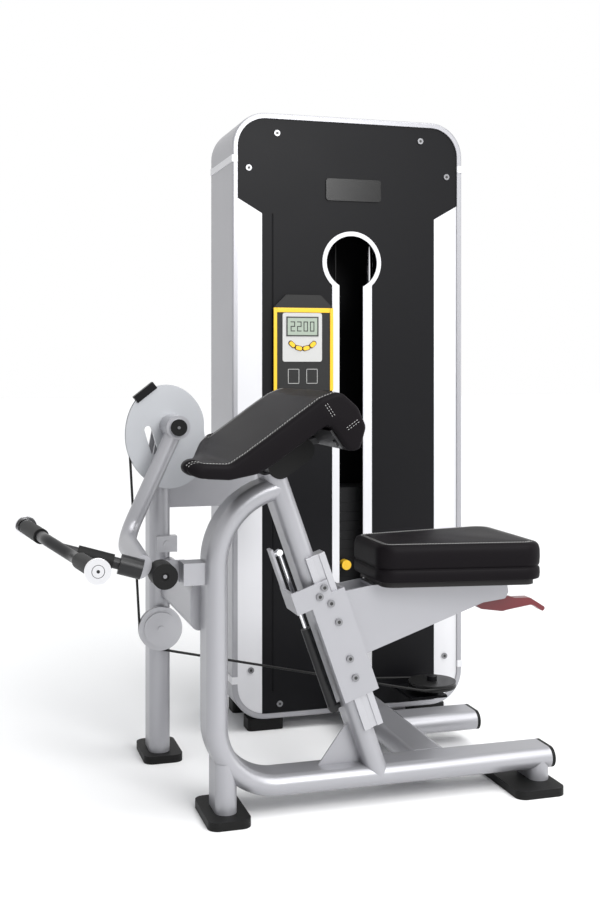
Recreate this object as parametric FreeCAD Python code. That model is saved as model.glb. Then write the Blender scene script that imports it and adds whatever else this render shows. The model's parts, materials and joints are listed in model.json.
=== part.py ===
import FreeCAD, Part
import math
import os

# A seated biceps curl machine with a weight tower behind it.
# All lengths are millimetres. X runs along the tower's width, -Y is the front, Z is up.
# While modelling, X 0 is the tower's centre, Y 0 its front face and Z 0 the floor.

# Driving dimensions of the tower
tower_half_width = 320.0
tower_depth = 250.0
tower_bottom = 31.0
tower_top = 1600.0
tower_corner = 90.0
rim_wall = 14.0
rim_bevel = 5.0
rim_strip_levels = (137.0, 1478.0)
rim_strip_height = 18.0
rim_strip_proud = 2.0
panel_recess = 4.0
panel_thick = 5.0
fold_x = -212.0
fold_depth = 2.0
shroud_half_width = 240.0
shroud_shoulder_inner = 1340.0
shroud_shoulder_outer = 1386.0
keyhole_centre = (5.0, 1218.0)
keyhole_outer = 82.0
keyhole_trim_width = 12.0
slot_x = (-30.0, 36.0)
slot_bottom = 100.0
slot_trim = (-50.0, 61.0)
trim_proud = 3.0
badge_x = (-67.0, 86.0)
badge_z = (1380.0, 1438.0)
badge_thick = 4.0
badge_corner = 8.0
shroud_screw_spots = ((200.0, 1549.0), (276.0, 1456.0), (193.0, 68.0), (270.0, 160.0))
screw_radius = 8.0
screw_head = 3.0

# Console
console_x = (-212.0, -50.0)
console_z = (880.0, 1130.0)
console_arch = 34.0
console_proud = 10.0
console_side_bar = 9.0
console_top_bar = 12.0
console_corner = 12.0
trim_lift = 2.0
label_x = (-188.0, -81.0)
label_z = (956.0, 1083.0)
label_lift = 1.5
label_corner = 6.0
display_x = (-175.0, -94.0)
display_z = (1025.0, 1070.0)
display_lift = 1.0
button_centre = (-134.5, 1032.0)
button_ring = 42.0
button_size = (17.0, 10.0)
button_thick = 5.0
button_travel = 2.0
button_first_angle = 228.0
button_step_angle = 28.0
button_count = 4
button_gap = 0.3
button_out_share = 0.6
half_share = 0.5
spine_start_share = 0.35
petal_round_share = 0.9
knob_round_share = 0.3

# Weight stack and what guides it
guide_spread = 100.0
guide_radius = 10.0
running_gap = 0.05
plate_half_width = 150.0
plate_y = (70.0, 180.0)
plate_pitch = 25.0
plate_groove = 1.2
plate_corner = 6.0
stack_base = 76.5
plate_count = 20
resting_count = 13
stem_radius = 9.0
stem_bore = 12.0
head_height = 40.0
head_stud = 30.0
pin_radius = 4.0
pin_level = 414.0
knob_radius = 13.0
knob_y = (30.0, 56.0)
base_block_half = 120.0

# Cable and pulleys
cable_radius = 3.0
flange_rise = 3.0
pulley_width = 16.0
axle_radius = 8.0
cable_plane = -160.0
lower_pulley_at = (-535.0, 320.0)
lower_pulley_pitch = 49.0
disc_pulley_at = (190.0, -101.0)
disc_pulley_pitch = 59.0
disc_level = 118.0
level_bend = 90.0
level_run = 40.0
hanger_thick = 6.0
hanger_half = 16.0
inner_run_at = (-120.0, 36.0)
inner_pitch = 30.0
drop_at = (0.0, 125.0)
top_level = 1490.0
cam_pitch = 101.0
clamp_end_angle = 122.0

# Hub, cam, arm and handle
hub_at = (-510.0, 803.0)
shaft_radius = 20.0
sleeve_radius = 28.0
sleeve_y = (-148.0, -55.0)
shaft_y = (-266.0, -50.0)
barrel_y = (-260.0, -168.0)
cam_y = (-168.0, -152.0)
cam_groove_half = 3.6
cam_radii = (80.0, 84.0, 97.0, 103.0, 107.0, 128.0, 150.0, 120.0)
cam_slot = ((-55.0, -9.0), (-40.0, -60.0))
cam_slot_radius = 9.0
clamp_at_angle = 128.0
clamp_size = (58.0, 18.0)
clamp_y = (-173.0, -151.0)
cheek_y = ((-146.0, -136.0), (-68.0, -58.0))
cheek_outline = ((-556.0, 700.0), (-500.0, 700.0), (-484.0, 803.0), (-536.0, 803.0))
arm_path = ((-510.0, -235.0, 803.0), (-630.0, -235.0, 545.0), (-640.0, -540.0, 532.0))
arm_bend = 60.0
arm_half_wide = 25.0
arm_half_thin = 19.0
collar_radius = 21.0
collar_share = 0.28
stem_start = (-640.0, -540.0, 527.0)
handle_path = ((-764.0, -800.0, 573.0), (-780.0, -560.0, 562.0), (-827.0, -480.0, 587.0),
               (-853.0, -245.0, 585.0))
handle_bends = (70.0, 70.0)
handle_radius = 12.0
stem_end = (-803.0, -520.0, 574.0)
foam_radius = 16.5
near_foam_share = (0.03, 0.72)
far_foam_share = (0.26, 0.97)
stem_foam_share = (0.36, 0.80)
handle_cap_radius = 24.0
handle_cap_thick = 10.0

# Near frame, made of flat-oval tube
tube_thick = 46.0
tube_wide = 100.0
near_plane = -535.0
rail_level = 64.0
rail_x = (-355.0, 277.0)
rail_cap = 8.0
loop_path = ((-355.0, 64.0), (-488.0, 64.0), (-488.0, 690.0), (-330.0, 690.0))
loop_bends = (132.9, 157.9)
post_line = ((-138.6, 85.0), (-366.0, 724.5))
post_overrun = 24.0
gusset_outline = ((-190.0, 180.0), (-262.0, 83.0), (-160.0, 83.0))
gusset_thick = 6.0
leg_x = -469.0
leg_top = 122.0
right_leg_x = 252.0
spine_x = (-40.0, 60.0)
base_tube_x = (45.0, 237.0)
base_tube_y = -230.0
foot_thick = 18.0
front_foot_x = (-515.0, -424.0)
front_foot_y = (-618.0, -452.0)
right_foot_x = (168.0, 284.0)
right_foot_y = (-637.0, -433.0)
rear_foot_x = (-573.0, -480.0)
rear_foot_y = (-172.0, -22.0)
foot_corner = 22.0
tower_foot_corner = 10.0
tower_foot_x = (180.0, 275.0)
tower_foot_y = ((10.0, 70.0), (180.0, 240.0))
disc_plate = ((120.0, 220.0), (-131.0, 4.0))
disc_plate_z = (87.0, 93.0)
disc_bolt_top = 138.0
disc_bolt_radius = 13.0

# Rear side
rear_post_x = -531.0
rear_post_y = -100.0
rear_post_top = 700.0
rear_tube_thick = 50.0
cross_x = (-531.0, -490.0)
cross_z = (385.0, 485.0)
cross_y = (-500.0, -130.0)
beam_z = (600.0, 700.0)
beam_x = (-520.0, -270.0)
beam_y = (-100.0, -50.0)
beam_return_x = (-320.0, -270.0)
beam_corner = 12.0
clamp_plate_x = (-543.0, -493.0)
clamp_plate_z = (500.0, 538.0)
clamp_plate_y = (-156.0, -130.0)
cover_radius = 40.0
cover_y = (-173.0, -168.0)
stub_x = (-557.0, -490.0)
stub_z = (492.0, 538.0)
stub_y = (-560.0, -510.0)
stop_plate_x = (-618.0, -545.0)
stop_plate_y = (-510.0, -504.0)
stop_at = (-597.0, 515.0)
stop_radius = 26.6
stop_y = (-570.0, -510.0)

# Seat track, carriage, gas spring; "along" runs up the post, "side" to its left
track_along = (91.0, 485.0)
track_side = (-40.0, 4.0)
track_y = (-595.0, -560.0)
track_rail_side = (-26.0, -10.0)
track_groove = 3.0
carriage_along = (167.0, 400.0)
carriage_side = (-54.0, 26.0)
carriage_y = (-601.05, -595.05)
carriage_wall = 6.0
carriage_back_y = -487.0
strap_along = (382.0, 430.0)
strap_near_side = -24.0
strap_side = (54.0, 60.0)
strap_back_y = -515.0
strap_arm_along = 520.0
strap_arm_y = (-550.0, -520.0)
gas_side = 40.0
gas_radius = 11.0
gas_rod_radius = 4.0
gas_cylinder_along = (150.0, 330.0)
gas_rod_along = (240.0, 500.0)
gas_stud_along = (145.0, 506.0)
gas_stud_radius = 6.0
gas_bore_floor = 158.0
carriage_screw_spots = ((-266.0, 481.0), (-276.0, 462.0), (-251.0, 447.0), (-234.0, 407.0),
                        (-209.0, 328.0), (-197.0, 287.0))
carriage_screw_head = 4.0

# Seat
seat_arm_outline = ((-222.0, 465.0), (-150.0, 476.0), (165.0, 476.0), (171.0, 445.0),
                    (164.0, 430.0), (110.0, 424.0), (-171.0, 328.0))
seat_arm_rounds = (0, 10.0, 8.0, 8.0, 8.0, 20.0, 0)
seat_arm_y = ((-578.0, -572.0), (-498.0, -492.0))
seat_rib_x = (-150.0, 160.0)
seat_rib_z = (470.0, 476.0)
board_z = (476.0, 488.0)
board_inset = 14.0
seat_plan = ((-152.0, -632.0), (208.0, -690.0), (208.0, -380.0), (-152.0, -438.0))
seat_corner = 40.0
seat_lower_z = (488.0, 514.0)
seat_upper_z = (517.0, 571.0)
seat_channel = 5.0
seat_crown_radius = 2600.0
seat_roll = 14.0
seat_lower_roll = 6.0
lever_pin_at = (112.0, 440.0)
lever_pin_radius = 5.0
lever_boss_radius = 12.0
lever_boss_half = 15.0
lever_outline = ((100.0, 445.0), (100.0, 420.0), (118.0, 403.0), (171.0, 395.0), (188.0, 398.0),
                 (246.0, 406.0), (272.0, 389.0), (280.0, 397.0), (240.0, 422.0), (204.0, 423.0),
                 (184.0, 429.0), (160.0, 431.0), (124.0, 446.0))
lever_rounds = (8.0, 10.0, 10.0, 12.0, 20.0, 20.0, 4.0, 5.0, 12.0, 20.0, 20.0, 16.0, 8.0)
lever_half = 12.0

# Arm pad
pad_y = (-745.0, -325.0)
pad_outline = ((-597.0, 783.0), (-555.0, 760.0), (-502.0, 757.0), (-470.0, 777.0),
               (-318.0, 884.0), (-278.0, 899.0), (-240.0, 866.0), (-222.0, 826.0),
               (-236.0, 777.0), (-262.0, 777.0), (-300.0, 832.0), (-419.0, 750.0),
               (-448.0, 735.0), (-501.0, 725.0), (-545.0, 728.0), (-578.0, 737.0),
               (-606.0, 756.0))
pad_rounds = (11.0, 30.0, 24.0, 40.0, 34.0, 26.0, 26.0, 24.0, 14.0, 14.0, 12.0, 24.0, 24.0,
              30.0, 24.0, 18.0, 12.0)
pad_edge_roll = 9.0
pad_far_left = -475.0
pad_plan_round = 40.0
pad_tube_centre = (-334.0, 752.0)
pad_slope_angle = 34.6
pad_tube_half = (55.0, 25.0)
pad_tube_y = (-586.0, -480.0)
pad_cap = 6.0
pad_plate_along = (-58.0, 50.0)
pad_plate_up = (25.0, 46.2)
pad_plate_y = (-640.0, -430.0)
pad_strap_outline = ((-266.8, 783.4), (-291.8, 819.6), (-295.9, 816.8), (-270.9, 780.6))
pad_strap_tab = ((-300.0, 775.0), (-270.7, 784.3), (-278.1, 795.0), (-306.0, 790.0))
pad_bolt_ends = ((-276.9, 793.4), (-282.3, 789.7))
pad_strap_inset = 14.0
pad_bolt_radius = 8.0
pad_clear = 0.3

V = FreeCAD.Vector


def vec(point):
    """A FreeCAD vector from a tuple."""
    return V(point[0], point[1], point[2])


def box(x_span, y_span, z_span):
    """A block between two values on each axis."""
    size = (x_span[1] - x_span[0], y_span[1] - y_span[0], z_span[1] - z_span[0])
    return Part.makeBox(size[0], size[1], size[2], V(x_span[0], y_span[0], z_span[0]))


def rod(start, end, radius):
    """A round bar from one point to another."""
    first = vec(start)
    run = vec(end) - first
    return Part.makeCylinder(radius, run.Length, first, run)


def disc_y(centre, y_span, radius):
    """A round disc whose axis runs along Y."""
    return rod((centre[0], y_span[0], centre[1]), (centre[0], y_span[1], centre[1]), radius)


def corner_arc(before, corner, after, radius):
    """The rounded corner between two straight runs: its start, middle and end."""
    back = (before - corner).normalize()
    ahead = (after - corner).normalize()
    half = back.getAngle(ahead) / 2
    reach = radius / math.tan(half)
    bisector = (back + ahead).normalize()
    centre = corner + bisector * (radius / math.sin(half))
    return corner + back * reach, centre - bisector * radius, corner + ahead * reach


def path_wire(points, radii):
    """An open run of straight lines with rounded corners."""
    spots = [vec(point) for point in points]
    edges = []
    last = spots[0]
    for before, corner, after, radius in zip(spots, spots[1:], spots[2:], radii):
        start, middle, end = corner_arc(before, corner, after, radius)
        edges.append(Part.makeLine(last, start))
        edges.append(Part.Arc(start, middle, end).toShape())
        last = end
    edges.append(Part.makeLine(last, spots[-1]))
    return Part.Wire(edges)


def closed_face(points, radii):
    """A flat face inside straight lines with rounded corners; a radius of 0 keeps one sharp."""
    spots = [vec(point) for point in points]
    edges = []
    corners = []
    for index, radius in enumerate(radii):
        before = spots[index - 1]
        after = spots[(index + 1) % len(spots)]
        if radius == 0:
            corners.append((spots[index], None, spots[index]))
        else:
            corners.append(corner_arc(before, spots[index], after, radius))
    for index, (start, middle, end) in enumerate(corners):
        last = corners[index - 1][2]
        edges.append(Part.makeLine(last, start))
        if middle is not None:
            edges.append(Part.Arc(start, middle, end).toShape())
    return Part.Face(Part.Wire(edges))


def slab_y(points, radii, y_span):
    """A plate drawn on X and Z and given a thickness along Y."""
    face = closed_face([(x, y_span[0], z) for x, z in points], radii)
    return face.extrude(V(0, y_span[1] - y_span[0], 0))


def slab_z(points, radii, z_span):
    """A plate drawn on X and Y and given a thickness along Z."""
    face = closed_face([(x, y, z_span[0]) for x, y in points], radii)
    return face.extrude(V(0, 0, z_span[1] - z_span[0]))


def corners(x_span, other_span):
    """The four corners of a rectangle."""
    return ((x_span[0], other_span[0]), (x_span[1], other_span[0]),
            (x_span[1], other_span[1]), (x_span[0], other_span[1]))


def oval_face(centre, along, wide_axis, thick, wide):
    """A flat-oval tube section, square to its run, with half-round narrow sides."""
    run = vec(along).normalize()
    broad = vec(wide_axis).normalize()
    thin = run.cross(broad)
    middle = vec(centre)
    reach = wide / 2 - thick / 2
    half = thick / 2
    low = [middle - broad * reach - thin * half, middle - broad * (wide / 2),
           middle - broad * reach + thin * half]
    high = [middle + broad * reach + thin * half, middle + broad * (wide / 2),
            middle + broad * reach - thin * half]
    edges = [Part.Arc(low[0], low[1], low[2]).toShape(), Part.makeLine(low[2], high[0]),
             Part.Arc(high[0], high[1], high[2]).toShape(), Part.makeLine(high[2], low[0])]
    return Part.Face(Part.Wire(edges))


def oval_tube(start, end, wide_axis, thick):
    """A straight flat-oval tube."""
    run = vec(end) - vec(start)
    return oval_face(start, run, wide_axis, thick, tube_wide).extrude(run)


def swept(path, section):
    """One section carried along a path of lines and arcs."""
    return path.makePipeShell([section], True, False)


def edges_at(shape, test):
    """The edges of a shape whose every vertex passes a test."""
    return [edge for edge in shape.Edges if all(test(vertex.Point) for vertex in edge.Vertexes)]


def near(value, target):
    """Whether two lengths agree."""
    return abs(value - target) < running_gap


def tower_outline(inset):
    """The tower's rounded front outline, drawn in by an inset."""
    return corners((inset - tower_half_width, tower_half_width - inset),
                   (tower_bottom + inset, tower_top - inset))


def tower_slab(inset, y_span):
    """A slab with the tower's outline."""
    return slab_y(tower_outline(inset), (tower_corner - inset,) * 4, y_span)


def tower_rim():
    """The metal band round the tower, in four lengths with a joint strip between each two."""
    outer = tower_slab(0, (0, tower_depth))
    front = edges_at(outer, lambda point: near(point.y, 0))
    outer = outer.makeFillet(rim_bevel, front)
    hollow = tower_slab(rim_wall, (-rim_wall, tower_depth + rim_wall))
    band = outer.cut(hollow)
    x_span = (-2 * tower_half_width, 2 * tower_half_width)
    y_span = (-tower_depth, 2 * tower_depth)
    half = rim_strip_height / 2
    low, high = rim_strip_levels
    bottom = band.common(box(x_span, y_span, (0, low - half)))
    top = band.common(box(x_span, y_span, (high + half, 2 * tower_top)))
    sides = band.common(box(x_span, y_span, (low + half, high - half)))
    strips = []
    for level in rim_strip_levels:
        for side in (-1, 1):
            wall = sorted((side * (tower_half_width + rim_strip_proud),
                           side * (tower_half_width - rim_wall)))
            strips.append(box(wall, (-rim_strip_proud, tower_depth),
                              (level - half, level + half)))
    return Part.makeCompound([bottom, top]), sides, strips


def keyhole_slab(grow, y_span):
    """The round window and the slot below it, made larger by an amount."""
    x_centre, z_centre = keyhole_centre
    window = disc_y((x_centre, z_centre), y_span, keyhole_outer - keyhole_trim_width + grow)
    if grow == 0:
        x_span, bottom = slot_x, slot_bottom
    else:
        x_span, bottom = slot_trim, slot_bottom - grow
    slot = box(x_span, y_span, (bottom, z_centre))
    return window.fuse(slot).removeSplitter()


def shroud():
    """The black front panel, the white side inserts, the window trim and the rear panel."""
    front_span = (panel_recess, panel_recess + panel_thick)
    whole = tower_slab(rim_wall, front_span)
    inserts = []
    for side in (-1, 1):
        points = [(side * shroud_half_width, 0), (side * tower_half_width, 0),
                  (side * tower_half_width, shroud_shoulder_outer),
                  (side * shroud_half_width, shroud_shoulder_inner)]
        cutter = slab_y(points, (0,) * 4, (0, tower_depth))
        inserts.append(whole.common(cutter))
    opening_span = (0, tower_depth)
    front = whole.cut(inserts).cut(keyhole_slab(0, opening_span))
    fold = rod((fold_x, panel_recess, shroud_shoulder_inner), (fold_x, panel_recess, slot_bottom),
               fold_depth)
    front = front.cut(fold)
    trim_span = (panel_recess - trim_proud, panel_recess)
    trim = keyhole_slab(keyhole_trim_width, trim_span).cut(keyhole_slab(0, opening_span))
    rear = tower_slab(rim_wall, (tower_depth - panel_recess - panel_thick,
                                 tower_depth - panel_recess))
    return front, inserts, trim, rear


def badge():
    """The bare plate high on the panel."""
    return slab_y(corners(badge_x, badge_z), (badge_corner,) * 4,
                  (panel_recess - badge_thick, panel_recess))


def tower_screws():
    """Low screw heads on the panel and on the inserts."""
    heads = []
    for x, z in shroud_screw_spots:
        for side in (-1, 1):
            heads.append(disc_y((side * x, z), (panel_recess - screw_head, panel_recess),
                                screw_radius))
    return heads


def button_shapes(grow):
    """Petal buttons on an arc below the display, made larger by an amount for their wells."""
    long_side, wide_side = (size + 2 * grow for size in button_size)
    thick = button_thick
    depth = thick if grow == 0 else thick + button_travel + grow
    front = panel_recess - console_proud - label_lift
    petals = []
    for index in range(button_count):
        turn = math.radians(button_first_angle + index * button_step_angle)
        x = button_centre[0] + button_ring * math.cos(turn)
        z = button_centre[1] + button_ring * math.sin(turn)
        half_long, half_wide = long_side / 2, wide_side / 2
        points = corners((-half_long, half_long), (-half_wide, half_wide))
        petal = slab_y(points, (half_wide * petal_round_share,) * 4, (0, depth))
        petal.rotate(V(0, 0, 0), V(0, 1, 0), 90 - math.degrees(turn))
        petal.translate(V(x, front - thick * button_out_share, z))
        petals.append(petal)
    return petals


def console():
    """The console: its body, yellow bars, white label, display and buttons."""
    back = panel_recess
    front = panel_recess - console_proud
    left, right = console_x
    arch_top = console_z[1]
    points = ((left, console_z[0]), (right, console_z[0]), (right, arch_top - console_arch),
              (right - console_arch, arch_top), (left + console_arch, arch_top),
              (left, arch_top - console_arch))
    rounds = (0, 0, console_corner, console_corner, console_corner, console_corner)
    body = slab_y(points, rounds, (front, back))
    bar_top = arch_top - console_arch
    bars = []
    for inner in (left, right - console_side_bar):
        bars.append(box((inner, inner + console_side_bar), (front - trim_lift, front),
                        (console_z[0], bar_top)))
    bars.append(box((left + console_side_bar, right - console_side_bar),
                    (front - trim_lift, front), (bar_top - console_top_bar, bar_top)))
    petals = button_shapes(0)
    label = slab_y(corners(label_x, label_z), (label_corner,) * 4, (front - label_lift, front))
    display = box(display_x, (front - label_lift - display_lift, front - label_lift), display_z)
    wells = button_shapes(button_gap)
    body = body.cut(wells)
    label = label.cut(wells)
    return body, bars, label, display, petals


def stack_plates():
    """The weight plates: those that rest, and those above the pin."""
    resting, lifted = [], []
    for index in range(plate_count):
        low = stack_base + index * plate_pitch
        high = low + plate_pitch
        plate = slab_z(corners((-plate_half_width, plate_half_width), plate_y),
                       (plate_corner,) * 4, (low, high))
        top_edges = edges_at(plate, lambda point, level=high: near(point.z, level))
        plate = plate.makeChamfer(plate_groove, top_edges)
        for side in (-1, 1):
            spot = (side * guide_spread, drop_at[1])
            plate = plate.cut(rod((*spot, low - plate_pitch), (*spot, high + plate_pitch),
                                  guide_radius + running_gap))
        plate = plate.cut(rod((*drop_at, low - plate_pitch), (*drop_at, high + plate_pitch),
                              stem_bore))
        if index < resting_count:
            resting.append(plate)
        else:
            lifted.append(plate)
    pin_hole = rod((0, 0, pin_level), (0, tower_depth, pin_level), pin_radius + running_gap)
    lifted[0] = lifted[0].cut(pin_hole)
    return resting, lifted


def stack_head():
    """The block on top of the stack, with the stem down through the plates and the cable stud."""
    low = stack_base + plate_count * plate_pitch
    high = low + head_height
    block = slab_z(corners((-plate_half_width, plate_half_width), plate_y),
                   (plate_corner,) * 4, (low, high))
    for side in (-1, 1):
        spot = (side * guide_spread, drop_at[1])
        block = block.cut(rod((*spot, 0), (*spot, tower_top), guide_radius + running_gap))
    stem = rod((*drop_at, stack_base), (*drop_at, high + head_stud), stem_radius)
    pin_hole = rod((0, 0, pin_level), (0, tower_depth, pin_level), pin_radius + running_gap)
    return block.fuse(stem).cut(pin_hole).removeSplitter()


def selector_pin():
    """The pin with its knob; it draws out towards the front."""
    shank = rod((0, knob_y[1], pin_level), (0, plate_y[1], pin_level), pin_radius)
    knob = rod((0, knob_y[0], pin_level), (0, knob_y[1], pin_level), knob_radius)
    knob = knob.makeFillet(knob_radius * knob_round_share, knob.Edges[:1])
    collar = rod((0, knob_y[1], pin_level), (0, plate_y[0], pin_level), 2 * pin_radius)
    return knob.fuse(shank).fuse(collar).removeSplitter()


def guide_rods():
    """Two round rods between the tower's bottom and its top."""
    low = tower_bottom + rim_wall
    high = tower_top - rim_wall
    return [rod((side * guide_spread, drop_at[1], low), (side * guide_spread, drop_at[1], high),
                guide_radius) for side in (-1, 1)]


def pulley(centre, axis, pitch):
    """A grooved pulley; the cable's centre line lies at the pitch radius."""
    half = pulley_width / 2
    rim = pitch + flange_rise
    room = cable_radius + running_gap
    bore = axle_radius + running_gap
    arc = Part.Arc(V(pitch, 0, -room), V(pitch - room, 0, 0), V(pitch, 0, room)).toShape()
    spots = [V(pitch, 0, room), V(rim, 0, room), V(rim, 0, half), V(bore, 0, half),
             V(bore, 0, -half), V(rim, 0, -half), V(rim, 0, -room), V(pitch, 0, -room)]
    edges = [arc] + [Part.makeLine(first, second) for first, second in zip(spots, spots[1:])]
    wheel = Part.Face(Part.Wire(edges)).revolve(V(0, 0, 0), V(0, 0, 1), 360)
    turn = FreeCAD.Rotation(V(0, 0, 1), vec(axis))
    wheel.Placement = FreeCAD.Placement(vec(centre), turn)
    return wheel


def inner_cable_points():
    """Where the cable turns inside the tower, worked out from the disc pulley's tangent."""
    to_x = inner_run_at[0] - disc_pulley_at[0]
    to_y = inner_run_at[1] - disc_pulley_at[1]
    span = math.hypot(to_x, to_y)
    bearing = math.atan2(to_y, to_x)
    lean = math.acos(disc_pulley_pitch / span)
    leave = bearing - lean
    tangent = V(disc_pulley_at[0] + disc_pulley_pitch * math.cos(leave),
                disc_pulley_at[1] + disc_pulley_pitch * math.sin(leave), disc_level)
    run = (V(inner_run_at[0], inner_run_at[1], disc_level) - tangent).normalize()
    return tangent, run, leave


def lower_cable_points():
    """Where the cable meets the cam and the lower pulley, and where it levels out."""
    gap_x = hub_at[0] - lower_pulley_at[0]
    gap_z = hub_at[1] - lower_pulley_at[1]
    span = math.hypot(gap_x, gap_z)
    bearing = math.atan2(gap_z, gap_x)
    lean = math.acos((lower_pulley_pitch - cam_pitch) / span)
    side = bearing + lean
    across = V(math.cos(side), 0, math.sin(side))
    cam_leave = V(hub_at[0], cable_plane, hub_at[1]) + across * cam_pitch
    pulley_meet = V(lower_pulley_at[0], cable_plane, lower_pulley_at[1])
    pulley_meet = pulley_meet + across * lower_pulley_pitch
    return cam_leave, pulley_meet, side


def circle_wire(centre, axis, radius):
    """A round section for a swept bar."""
    return Part.Wire(Part.makeCircle(radius, vec(centre), vec(axis)))


def arc_about(centre, across, ahead, radius, first, last):
    """An arc given by two unit directions and its first and last angle in radians."""
    spots = []
    for turn in (first, (first + last) / 2, last):
        spots.append(centre + across * (radius * math.cos(turn)) + ahead * (radius * math.sin(turn)))
    return Part.Arc(spots[0], spots[1], spots[2]).toShape()


def main_cable():
    """The cable from the cam's clamp, round the pulleys, up the tower and over the top pulley."""
    across, up, back = V(1, 0, 0), V(0, 0, 1), V(0, 1, 0)
    hub = V(hub_at[0], cable_plane, hub_at[1])
    low = V(lower_pulley_at[0], cable_plane, lower_pulley_at[1])
    cam_leave, pulley_meet, side = lower_cable_points()
    level_centre = V(disc_pulley_at[0] - level_run, cable_plane, disc_level + level_bend)
    gap = level_centre - low
    bearing = math.atan2(gap.z, gap.x)
    under = bearing - math.acos((lower_pulley_pitch - level_bend) / gap.Length)
    down = across * math.cos(under) + up * math.sin(under)
    pulley_leave = low + down * lower_pulley_pitch
    level_meet = level_centre + down * level_bend
    level_end = level_centre - up * level_bend
    disc = V(disc_pulley_at[0], disc_pulley_at[1], disc_level)
    disc_meet = disc - back * disc_pulley_pitch
    tangent, run, leave = inner_cable_points()
    turn_point = V(inner_run_at[0], inner_run_at[1], disc_level)
    turn_start = turn_point - run * inner_pitch
    turn_centre = turn_start + up * inner_pitch
    climb = turn_point + up * inner_pitch
    top_start = V(inner_run_at[0], inner_run_at[1], top_level)
    top_end = V(drop_at[0], drop_at[1], top_level)
    top_centre = (top_start + top_end) * half_share
    top_across = (top_end - top_centre).normalize()
    top_pitch = (top_end - top_centre).Length
    quarter = math.pi / 2
    edges = [arc_about(hub, across, up, cam_pitch, math.radians(clamp_end_angle), side),
             Part.makeLine(cam_leave, pulley_meet),
             arc_about(low, across, up, lower_pulley_pitch, side, under + 4 * quarter),
             Part.makeLine(pulley_leave, level_meet),
             arc_about(level_centre, across, up, level_bend, under, -quarter),
             Part.makeLine(level_end, disc_meet),
             arc_about(disc, across, back, disc_pulley_pitch, -quarter, leave),
             Part.makeLine(tangent, turn_start),
             arc_about(turn_centre, run, up, inner_pitch, -quarter, 0),
             Part.makeLine(climb, top_start),
             arc_about(top_centre, top_across, up, top_pitch, 2 * quarter, 0)]
    first = math.radians(clamp_end_angle)
    start = hub + across * (cam_pitch * math.cos(first)) + up * (cam_pitch * math.sin(first))
    heading = V(-math.sin(first), 0, math.cos(first))
    return Part.Wire(edges).makePipeShell([circle_wire(start, heading, cable_radius)], True, False)


def cable_drop():
    """The cable's last run, from the top pulley down to the stack; it shortens as this rises."""
    low = stack_base + plate_count * plate_pitch + head_height + head_stud
    return rod((*drop_at, low), (*drop_at, top_level), cable_radius)


def inner_pulleys():
    """The pulley behind the slot and the one at the tower's top, and their brackets."""
    tangent, run, leave = inner_cable_points()
    low_centre = V(inner_run_at[0], inner_run_at[1], disc_level + inner_pitch) - run * inner_pitch
    low_turn = math.degrees(math.atan2(run.y, run.x))
    low_wheel = pulley(low_centre, (-run.y, run.x, 0), inner_pitch)
    top_run = V(drop_at[0] - inner_run_at[0], drop_at[1] - inner_run_at[1], 0)
    top_pitch = top_run.Length / 2
    top_centre = V(inner_run_at[0], inner_run_at[1], top_level) + top_run * half_share
    top_turn = math.degrees(math.atan2(top_run.y, top_run.x))
    top_wheel = pulley(top_centre, (-top_run.y, top_run.x, 0), top_pitch)
    low_carrier = hanger(low_centre, low_turn, -1, tower_bottom + rim_wall)
    top_carrier = hanger(top_centre, top_turn, 1, tower_top - rim_wall)
    base = box((-base_block_half, base_block_half), plate_y, (tower_bottom + rim_wall, stack_base))
    base = base.cut(guide_rods())
    return low_wheel, top_wheel, [low_carrier, top_carrier, base]


def hanger(centre, turn, face, held_at):
    """A plate beside a pulley, with its axle, reaching to the tower's floor or top."""
    half = pulley_width / 2 + running_gap
    plate_span = sorted((face * half, face * (half + hanger_thick)))
    levels = sorted((held_at - centre.z, -math.copysign(hanger_half, held_at - centre.z)))
    plate = box((-hanger_half, hanger_half), plate_span, levels)
    axle = rod((0, -face * (half + running_gap), 0), (0, face * (half + hanger_thick), 0),
               axle_radius)
    carrier = plate.fuse(axle).removeSplitter()
    carrier.rotate(V(0, 0, 0), V(0, 0, 1), turn)
    carrier.translate(centre)
    return carrier


def outer_pulleys():
    """The pulley low on the rear post and the flat one beside the tower."""
    lower = pulley((lower_pulley_at[0], cable_plane, lower_pulley_at[1]), (0, 1, 0),
                   lower_pulley_pitch)
    disc = pulley((*disc_pulley_at, disc_level), (0, 0, 1), disc_pulley_pitch)
    return lower, disc


def disc_bracket():
    """The plate under the flat pulley, with its spacer, axle and bolt head."""
    x_span, y_span = disc_plate
    plate = box(x_span, y_span, disc_plate_z)
    low = disc_level - pulley_width / 2 - running_gap
    high = disc_level + pulley_width / 2 + running_gap
    spot = disc_pulley_at
    spacer = rod((*spot, disc_plate_z[1]), (*spot, low), 2 * axle_radius)
    axle = rod((*spot, disc_plate_z[1]), (*spot, disc_bolt_top), axle_radius)
    head = rod((*spot, high), (*spot, disc_bolt_top), disc_bolt_radius)
    return plate.fuse([spacer, axle, head]).removeSplitter()


def near_frame():
    """The rail, the bent loop and the slanted post, all of flat-oval tube."""
    wide = (0, 1, 0)
    rail = oval_tube((rail_x[0], near_plane, rail_level), (rail_x[1], near_plane, rail_level), wide,
                     tube_thick)
    foot, head = post_ends()
    along = (head - foot).normalize()
    post = oval_tube(foot - along * post_overrun, head, wide, tube_thick)
    post = post.cut([rail, pad_tube()])
    post = largest(post)
    path = path_wire([(x, near_plane, z) for x, z in loop_path], loop_bends)
    section = oval_face((loop_path[0][0], near_plane, loop_path[0][1]), (-1, 0, 0), wide,
                        tube_thick, tube_wide)
    loop = largest(swept(path, section.OuterWire).cut(post))
    return rail, loop, post


def largest(shape):
    """The biggest solid of a shape."""
    return max(shape.Solids, key=lambda solid: solid.Volume)


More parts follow.
